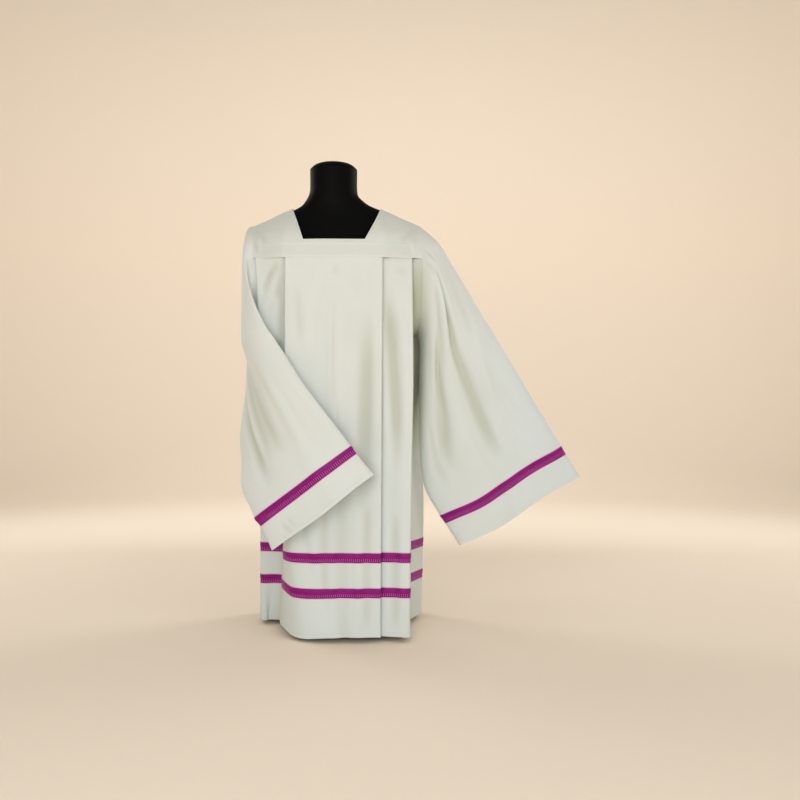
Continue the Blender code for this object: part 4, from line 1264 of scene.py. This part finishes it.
sleeve = {
    # How far along, the top line's point, the underarm's point, the middles of the front and back face.
    "spread": (
        (0, 0.197, 0, 0.959, 0.192, 0, 0.701, 0.1945, -0.089, 0.83, 0.1945, 0.095, 0.83),
        (0.08, 0.238, 0, 0.923, 0.1965, -0.004, 0.67, 0.223, -0.084, 0.7965, 0.223, 0.084, 0.7965),
        (0.16, 0.27, 0, 0.875, 0.1965, -0.006, 0.623, 0.2395, -0.071, 0.749, 0.2395, 0.067, 0.749),
        (0.34, 0.332, 0, 0.772, 0.1965, -0.006, 0.529, 0.268, -0.049, 0.6505, 0.268, 0.043, 0.6505),
        (0.51, 0.3947, 0, 0.669, 0.1975, -0.004, 0.4375, 0.2979, -0.038, 0.5533, 0.2979, 0.034, 0.5533),
        (0.68, 0.457, 0, 0.565, 0.206, 0, 0.348, 0.3315, -0.031, 0.4565, 0.3315, 0.031, 0.4565),
        (0.88, 0.535, 0, 0.4362, 0.2445, 0, 0.2705, 0.3898, -0.027, 0.3533, 0.3898, 0.027, 0.3533),
        (0.915, 0.548, 0, 0.4143, 0.259, 0, 0.2495, 0.4035, -0.026, 0.3319, 0.4035, 0.026, 0.3319),
        (1, 0.5796, 0, 0.3626, 0.2928, 0, 0.1984, 0.4362, -0.024, 0.2805, 0.4362, 0.024, 0.2805),
    ),
    # How far along, angle, least and greatest distance from the fan's line, reach back and forwards.
    "fan": (
        (0.05, 4, 0.030, 0.272, -0.098, 0.098),
        (0.10, 5.8, 0.027, 0.245, -0.098, 0.106),
        (0.15, 7.3, 0.025, 0.195, -0.095, 0.115),
        (0.20, 10, 0.022, 0.142, -0.088, 0.127),
        (0.25, 15, 0.019, 0.096, -0.075, 0.139),
        (0.30, 24, 0.016, 0.062, -0.057, 0.149),
        (0.36, 44, 0.012, 0.036, -0.035, 0.160),
        (0.42, 90, 0.008, 0.024, -0.012, 0.170),
    ),
    "fanZ": 0.668,
    "fanSideX": 0.190,
    "fanCornerStart": 0.068,
    "fanCornerRadius": 0.060,
    "fanOpening": 0.004,
    "folded": (
        (0.56, -0.211, -0.022, 0.556, -0.067, -0.17, 0.586, -0.17, -0.129, 0.571, -0.158, -0.114, 0.564),
        (0.7, -0.219, -0.07, 0.446, -0.006, -0.18, 0.506, -0.128, -0.155, 0.476, -0.118, -0.134, 0.47),
        (0.88, -0.174, -0.15, 0.284, 0.042, -0.187, 0.445, -0.07, -0.19, 0.364, -0.064, -0.157, 0.364),
        (0.915, -0.158, -0.158, 0.263, 0.056, -0.189, 0.426, -0.054, -0.194, 0.344, -0.049, -0.161, 0.344),
        (1, -0.131, -0.172, 0.214, 0.093, -0.193, 0.3816, -0.021, -0.202, 0.298, -0.017, -0.167, 0.298),
    ),
    # Large folds of the outer face: across and along at each end, half width, height.
    "wavesSpread": (
        (0.44, 0.08, 0.40, 0.94, 0.048, -0.011),
        (0.68, 0.12, 0.79, 0.76, 0.062, -0.012),
        (0.10, 0.30, 0.52, 1.00, 0.060, 0.006),
    ),
    "wavesFolded": (
        (0.30, 0.34, 0.44, 0.80, 0.070, -0.008),
        (0.06, 0.46, 0.30, 0.86, 0.060, -0.007),
        (0.70, 0.40, 0.66, 1.00, 0.080, 0.005),
    ),
    # How the lower end sags along the sleeve: place across, half width, how far; where it starts and grows.
    "sagSpread": (((0.70, 0.20, 0.0085), (0.24, 0.13, -0.0025)), 0.55, 0.33),
    "sagFolded": (((0.48, 0.26, 0.0040), (0.84, 0.10, -0.0010)), 0.90, 0.10),
    # Finer creases of each face, in shares across and along: both ends, half width, depth, fading.
    "creasesSpreadFront": (
        (0.42, 0.02, 0.42, 0.40, 0.045, -0.0026, 0.4),
        (0.60, 0.03, 0.62, 0.40, 0.045, -0.0030, 0.4),
        (0.50, 0.05, 0.48, 0.30, 0.030, 0.0018, 0.4),
        (0.30, 0.34, 0.20, 0.80, 0.040, 0.0022, 0.3),
        (0.60, 0.40, 0.62, 0.86, 0.045, 0.0018, 0.3),
        (0.16, 0.10, 0.18, 0.46, 0.040, -0.0014, 0.3),
        (0.90, 0.40, 0.84, 0.80, 0.030, -0.0024, 0.3),
        (0.80, 0.10, 0.74, 0.60, 0.035, 0.0020, 0.3),
        (0.26, 0.005, 0.30, 0.085, 0.020, -0.0020, 0.4),
        (0.35, 0.005, 0.37, 0.075, 0.016, 0.0018, 0.4),
        (0.47, 0.005, 0.46, 0.070, 0.018, -0.0020, 0.4),
        (0.55, 0.005, 0.53, 0.080, 0.016, 0.0018, 0.4),
    ),
    "creasesSpreadBack": (
        (0.40, 0.05, 0.34, 0.50, 0.030, -0.0028, 0.3),
        (0.62, 0.08, 0.66, 0.70, 0.035, -0.0030, 0.3),
        (0.24, 0.40, 0.30, 0.86, 0.030, 0.0022, 0.3),
        (0.80, 0.50, 0.76, 0.87, 0.030, 0.0020, 0.3),
    ),
    "creasesFoldedFront": (
        (0.24, 0.44, 0.36, 0.80, 0.035, -0.0034, 0.3),
        (0.12, 0.52, 0.26, 0.86, 0.032, -0.0030, 0.3),
        (0.56, 0.46, 0.54, 0.80, 0.040, 0.0018, 0.3),
        (0.84, 0.50, 0.80, 0.87, 0.040, 0.0014, 0.3),
        (0.16, 0.945, 0.24, 0.995, 0.016, -0.0026, 0.4),
        (0.22, 0.935, 0.28, 0.985, 0.014, -0.0020, 0.4),
    ),
    "creasesFoldedBack": (
        (0.30, 0.44, 0.44, 0.86, 0.030, -0.0016, 0.3),
        (0.70, 0.46, 0.66, 0.86, 0.030, 0.0014, 0.3),
    ),
    # The folded sleeve's outer line stands out above its band: along, across, how far along, how far out.
    "corner": (0.81, 0.34, 0.045, 0.013),
    "uneven": 0.0010,
    "unevenFrom": 0.04,
    "waveFading": 0.3,
    "waveShade": 46,
    "creaseShade": 95,
    # painted shade on the spread sleeve's front next to the body
    "shadeBesideBody": 0.50,
    "besideX": (0.236, -0.040),
    "besideHigh": (0.93, -0.14),
    "besideLow": (0.38, 0.20),
    "flatSpread": (0.66, 0.60),
    "flatFolded": (0.66, 0.66),
    "flatBand": (0.66, 0.0255),
    "flatCuff": (0.66, 0.06),
    "area": 0.29,
    "bandFrom": 0.88,
    "bandTo": 0.915,
    "blendEnd": 0.40,
    "fullness": 0.7,
    "bend": 1.5,
    "ringsAlong": 120,
    "cuffRings": 18,
}


def armholeRing(side):
    column = 0 if side < 0 else 16
    steps = spread(0, 7, 7 * garment["finer"])
    ring = [yokePoint(-1, step, column)[0] for step in steps[:-1]]
    for face, rows in ((-1, steps), (1, steps[-2::-1])):
        for z in (armholeHeight(row) for row in rows):
            ring.append(Vector((*panelEnd(z, side, face), z)))
    return ring + [yokePoint(1, step, column)[0] for step in steps[-2:0:-1]]


def lensRing(values, ring, blend):
    top, under, front, back = (Vector(values[i : i + 3]) for i in (0, 3, 6, 9))
    middle = (front + back - top - under) / 2
    half = len(ring) // 2
    first = ring[0]
    chord = ring[half] - first
    points = []
    for j, own in enumerate(ring):
        angle = math.pi * j / half
        turn = abs(math.sin(angle))
        ownAcross = (own - first).dot(chord) / chord.dot(chord)
        ownShape = abs(own.y) / (garment["armholeFront"] if own.y < 0 else garment["armholeBack"])
        across = ownAcross + ((1 - math.cos(angle)) / 2 - ownAcross) * blend
        shape = ownShape + (turn ** sleeve["fullness"] - ownShape) * blend
        bent = ownShape + (turn ** sleeve["bend"] - ownShape) * blend
        apart = (front - back) / 2 * (1 if j <= half else -1)
        point = top + (under - top) * across + middle * bent + apart * shape
        point.x += (own.x - first.x - ownAcross * chord.x) * (1 - blend)
        points.append(point)
    return points


def besideBody(around, off, z):
    start = sleeve["fanCornerStart"]
    radius = sleeve["fanCornerRadius"]
    if around <= start:
        return Vector((-sleeve["fanSideX"] - off, -around, z))
    turn = min((around - start) / radius, math.pi / 2)
    past = around - start - radius * turn
    reach = radius + off
    x = radius - sleeve["fanSideX"] - reach * math.cos(turn) + past
    return Vector((x, -start - reach * math.sin(turn), z))


def fanRing(row, ring):
    along, angle, low, high, back, front = row
    angle = math.radians(angle)
    twist = math.pi / 2 * along / sleeve["fan"][-1][0]
    blend = easeInOut(along / 0.15)
    points = []
    for j, own in enumerate(ring):
        place = 2 * math.pi * j / len(ring) - twist
        around = (front + back) / 2 + (front - back) / 2 * math.sin(place)
        out = (low + high) / 2 + (high - low) / 2 * math.cos(place)
        around = -own.y + (around + own.y) * blend
        out = own.z - sleeve["fanZ"] + (out - own.z + sleeve["fanZ"]) * blend
        opening = sleeve["fanOpening"] * blend * max(math.sin(place + twist / 2), 0.0)
        off = out * math.sin(angle) + opening * math.cos(angle)
        points.append(besideBody(around, off, sleeve["fanZ"] + out * math.cos(angle)))
    return points


def sleeveRings(side, places, ring):
    if side > 0:
        shapes = [(along, fromTable(sleeve["spread"], along)) for along in places]
        return [lensRing(shape, ring, easeInOut(along / sleeve["blendEnd"])) for along, shape in shapes]
    keys = [(0.0, ring)]
    keys += [(row[0], fanRing(row, ring)) for row in sleeve["fan"]]
    keys += [(row[0], lensRing(row[1:], ring, 1.0)) for row in sleeve["folded"]]
    rings = []
    for along in places:
        shares = rowShares([key[0] for key in keys], along).items()
        line = []
        for j in range(len(ring)):
            line.append(sum((keys[k][1][j] * share for k, share in shares), Vector((0, 0, 0))))
        rings.append(line)
    return rings


def sleeveNormals(rings, side):
    return [[-side * normal for normal in line] for line in gridNormals(rings, True)]


def sleeveGrid(side, places):
    ring = armholeRing(side)
    rings = sleeveRings(side, places, ring)
    normals = sleeveNormals(rings, side)
    word = "Spread" if side > 0 else "Folded"
    half = len(ring) // 2
    sags, sagStart, sagGrowth = sleeve["sag" + word]
    cornerAlong, cornerAcross, cornerWide, cornerOut = sleeve["corner"]
    fading = sleeve["waveFading"]
    rows = sleeve[word.lower()]
    downward = (Vector(rows[-1][1:4]) - Vector(rows[-3][1:4])).normalized()
    shade = []
    for r, along in enumerate(places):
        start = easeInOut(along / sleeve["unevenFrom"])
        sagging = easeInOut((along - sagStart) / sagGrowth)
        tones = []
        for j, place in enumerate(rings[r]):
            angle = math.pi * j / half
            across = (1 - math.cos(angle)) / 2
            fade = abs(math.sin(angle))
            front = j <= half
            wave = softFolds(sleeve["waves" + word], across, along, fading, 1) if front else 0.0
            crease = creaseDepth(sleeve["creases" + word + ("Front" if front else "Back")], across, along)
            lift = (wave + crease * start) * fade + sleeve["uneven"] * noise.noise(place * 14) * start
            # Painted shade in the troughs of soft folds and creases.
            tone = -(wave * sleeve["waveShade"] + crease * sleeve["creaseShade"]) * fade
            tone = min(max(tone, 0.0), 0.5)
            # Painted shade on the spread sleeve's front beside the body.
            if side > 0 and front:
                beside = grows(place.x, *sleeve["besideX"]) * grows(place.z, *sleeve["besideHigh"])
                tone = max(tone, sleeve["shadeBesideBody"] * beside * grows(place.z, *sleeve["besideLow"]))
            tones.append(tone)
            sag = sum(deep * math.exp(-(((across - at) / wide) ** 2)) for at, wide, deep in sags) * sagging
            point = place + normals[r][j] * lift + downward * sag
            if side < 0:
                corner = math.exp(-(((along - cornerAlong) / cornerWide) ** 2))
                point.x -= cornerOut * corner * easeInOut((cornerAcross - across) / cornerAcross)
            rings[r][j] = point
        shade.append(tones)
    return rings, turned(shade, side)


def makeSleeve(side, word):
    low = sleeve["bandFrom"]
    high = sleeve["bandTo"]
    own = word.lower()
    rings, shade = sleeveGrid(side, spread(0, low, sleeve["ringsAlong"]))
    far = [[0.1] * len(line) for line in rings]
    marks = {"foldShade": shade, "edgeDistance": far, "alongEdge": far}
    makeCloth("sleeve" + word, turned(rings, side), marks, "sleeve_" + own, closed=True)

    rings, shade = sleeveGrid(side, spread(high, 1.0, sleeve["cuffRings"]))
    length = (rings[-1][0] - rings[0][0]).length
    ups = [length * (1 - r / (len(rings) - 1)) for r in range(len(rings))]
    foldHem(rings, sleeveNormals(rings, side), ups)
    marks = {
        "foldShade": shade,
        "edgeDistance": [[up] * len(rings[0]) for up in ups],
        "alongEdge": turned([lengths(line) for line in rings], side),
    }
    makeCloth("cuff" + word, turned(rings, side), marks, "cuff_" + own, closed=True)

    shares = bandRowShares(ladder["sleeves"])
    rings = turned(sleeveGrid(side, [low + (high - low) * share for share, _ in shares])[0], side)
    # The rungs sit at even distances round the sleeve, so the rings are cut again at their edges.
    middle = lengths(rings[len(rings) // 2], True)
    cuts = rungPlaces(middle, range(len(middle)), ladder["pitchSleeves"])[:-1]
    rows = [[shareAt(line + line[:1], t) for t in cuts] for line in rings]
    makeBand("sleeveBand" + word, rows, shares, "sleeve_band_" + own, True)


for side, word in ((1, "Left"), (-1, "Right")):
    makeSleeve(side, word)
print("sleeves made")


# Dress form and stand

form = {
    # Height, half width, front depth, back depth, sideways shift.
    "sections": (
        (0.346, 0.142, 0.086, 0.094, 0.0),
        (0.371, 0.148, 0.090, 0.100, 0.0),
        (0.436, 0.150, 0.091, 0.102, 0.0),
        (0.536, 0.142, 0.087, 0.090, 0.0),
        (0.636, 0.150, 0.092, 0.092, 0.0),
        (0.736, 0.158, 0.099, 0.097, 0.0),
        (0.806, 0.165, 0.103, 0.100, 0.0),
        (0.856, 0.172, 0.103, 0.101, 0.0),
        (0.896, 0.177, 0.101, 0.099, 0.0),
        (0.926, 0.177, 0.095, 0.094, 0.0),
        (0.951, 0.171, 0.080, 0.080, 0.0),
        (0.9736, 0.160, 0.062, 0.062, 0.0),
        (0.9857, 0.132, 0.056, 0.056, 0.0),
        (0.9977, 0.104, 0.053, 0.053, 0.0),
        (1.007, 0.084, 0.053, 0.053, -0.003),
        (1.017, 0.072, 0.054, 0.054, -0.006),
        (1.031, 0.0605, 0.055, 0.054, -0.009),
        (1.046, 0.0565, 0.055, 0.055, -0.009),
        (1.094, 0.0562, 0.0555, 0.0555, -0.009),
    ),
    "power": 2.2,
    "sides": 96,
    "ringStep": 0.006,
    "cap": (  # height, radius
        (1.0944, 0.0562),
        (1.0965, 0.0556),
        (1.1042, 0.0470),
        (1.1085, 0.0360),
        (1.1108, 0.0180),
    ),
    "capX": -0.009,
    "capLift": 0.0003,
    "capRim": (0.0012, 0.0010),  # inset and height of the rounded rim
    "capSteps": 10,
    "capCentre": ((0.009, 0.0008), (0.0, 0.0010)),
}


def formRing(z, half, front, back, shift):
    ring = []
    for k in range(form["sides"]):
        angle = 2 * math.pi * k / form["sides"]
        turns = (math.cos(angle), math.sin(angle))
        across, out = (math.copysign(abs(turn) ** (2 / form["power"]), turn) for turn in turns)
        ring.append((half * across + shift, (front if out < 0 else back) * out, z))
    return ring


def makeTorso():
    heights = []
    for (low, *_), (high, *_) in zip(form["sections"], form["sections"][1:]):
        heights += spread(low, high, max(round((high - low) / form["ringStep"]), 2))[:-1]
    heights.append(form["sections"][-1][0])
    points = [point for z in heights for point in formRing(z, *fromTable(form["sections"], z))]
    sides = form["sides"]
    faces = []
    for base in range(0, len(points) - sides, sides):
        for k in range(sides):
            n = (k + 1) % sides
            faces.append((base + k, base + n, base + sides + n, base + sides + k))
    faces.append(tuple(range(sides))[::-1])
    faces.append(tuple(range(len(points) - sides, len(points))))
    mesh = bpy.data.meshes.new("torso")
    mesh.from_pydata(points, [], faces)
    mesh.materials.append(coverBlack)
    torso = newPiece("torso", mesh)
    smoothPiece(torso)
    wearPiece(torso, "form_torso")


def makeCap():
    profile = [(z + form["capLift"], radius) for z, radius in form["cap"]]
    foot, radius = profile[0]
    top = profile[-1][0]
    inset, rim = form["capRim"]
    points = [(0.0, foot), (radius - inset, foot), (radius, foot + rim)]
    points += [(fromTable(profile, z)[0], z) for z in spread(profile[1][0], top, form["capSteps"])]
    points += [(out, top + rise) for out, rise in form["capCentre"]]
    cap = spinPiece("neckCap", points, form["sides"], 0.00005, False, form["capX"])
    cap.data.materials.append(capBlack)
    wearPiece(cap, "form_neck_cap")


def dressNode(name, material):
    node = bpy.data.objects[name]
    for slot in node.material_slots:
        slot.material = material
    if not node.material_slots:
        node.data.materials.append(material)


makeTorso()
makeCap()
dressNode("stand_base", baseBlack)
dressNode("stand_pole", poleSteel)
print("dress form and stand made")


# Room, lights and camera

room = {
    "radius": 4.6,
    "curve": 1.6,
    "curveSteps": 12,
    "sides": 64,
    "height": 5.0,
    "floor": (0.91, 0.81, 0.68),
    "patch": (0.89, 0.79, 0.66),
    "patchShare": 0.15,
    "patchNoise": (0.8, 2.0),
    "surface": {"Roughness": 0.9, "Specular IOR Level": 0.1},
    "worldColour": (1.0, 1.0, 1.0),
    "worldStrength": 0.22,
}


def makeRoom():
    points = [(0.0, 0.0), (room["radius"] - room["curve"], 0.0)]
    for i in range(1, room["curveSteps"] + 1):
        angle = math.pi / 2 * i / room["curveSteps"]
        out = room["radius"] - room["curve"] * (1 - math.sin(angle))
        points.append((out, room["curve"] * (1 - math.cos(angle))))
    points.append((room["radius"], room["height"]))
    floor = spinPiece("floor", points, room["sides"], 0.001, True)
    material, tree, surface = newMaterial("paleFloor")
    patches = noiseNode(tree, objectPlace(tree), *room["patchNoise"])
    share = mathNode(tree, "MULTIPLY", patches, room["patchShare"])
    tree.links.new(mixNode(tree, share, room["floor"], room["patch"]), surface.inputs["Base Color"])
    setInputs(surface, room["surface"])
    floor.data.materials.append(material)


lamps = {  # place, aim, size, power, colour
    "keyLamp": ((-0.35, -3.0, 1.0), (0.05, 0.0, 0.55), 1.7, 33.5, (0.975, 0.99, 1.0)),
    "fillLamp": ((2.3, -2.2, 0.8), (0.05, 0.0, 0.5), 1.6, 12.0, (0.94, 0.98, 1.0)),
    "floorLamp": ((0.1, -1.5, 3.0), (0.1, -1.4, 0.0), 2.4, 12.0, (1.0, 1.0, 1.0)),
    "backLampLeft": ((-1.9, 1.3, 1.7), (0.05, -0.3, 0.0), 1.4, 18.0, (1.0, 1.0, 1.0)),
    "backLampRight": ((2.1, 1.3, 1.7), (0.05, -0.3, 0.0), 1.4, 18.0, (1.0, 1.0, 1.0)),
    "wallLamp": ((0.1, 1.2, 2.4), (0.1, 5.0, 2.1), 2.2, 55.0, (1.0, 1.0, 1.0)),
}


def makeLamps():
    for name, (place, aim, size, power, colour) in lamps.items():
        data = bpy.data.lights.new(name, "AREA")
        data.shape = "DISK"
        data.size = size
        data.energy = power
        data.color = colour
        lamp = bpy.data.objects.new(name, data)
        lamp.location = place
        lamp.rotation_euler = (Vector(aim) - Vector(place)).to_track_quat("-Z", "Y").to_euler()
        lamp.visible_camera = False
        bpy.context.scene.collection.objects.link(lamp)


def makeWorld():
    world = bpy.data.worlds.new("room")
    bpy.context.scene.world = world
    world.use_nodes = True
    background = world.node_tree.nodes["Background"]
    setInputs(background, {"Color": (*room["worldColour"], 1.0), "Strength": room["worldStrength"]})


camera = {"place": (0.15, -2.15, 0.545), "lens": 40.32, "sensor": 36.0}


def makeCamera():
    data = bpy.data.cameras.new("photoCamera")
    data.lens = camera["lens"]
    data.sensor_width = camera["sensor"]
    data.clip_end = 60.0
    eye = bpy.data.objects.new("photoCamera", data)
    eye.location = camera["place"]
    eye.rotation_euler = (math.pi / 2, 0.0, 0.0)
    bpy.context.scene.collection.objects.link(eye)
    bpy.context.scene.camera = eye


makeRoom()
makeLamps()
makeWorld()
makeCamera()
bpy.context.scene.view_settings.view_transform = "Standard"
print("room, lights and camera made")
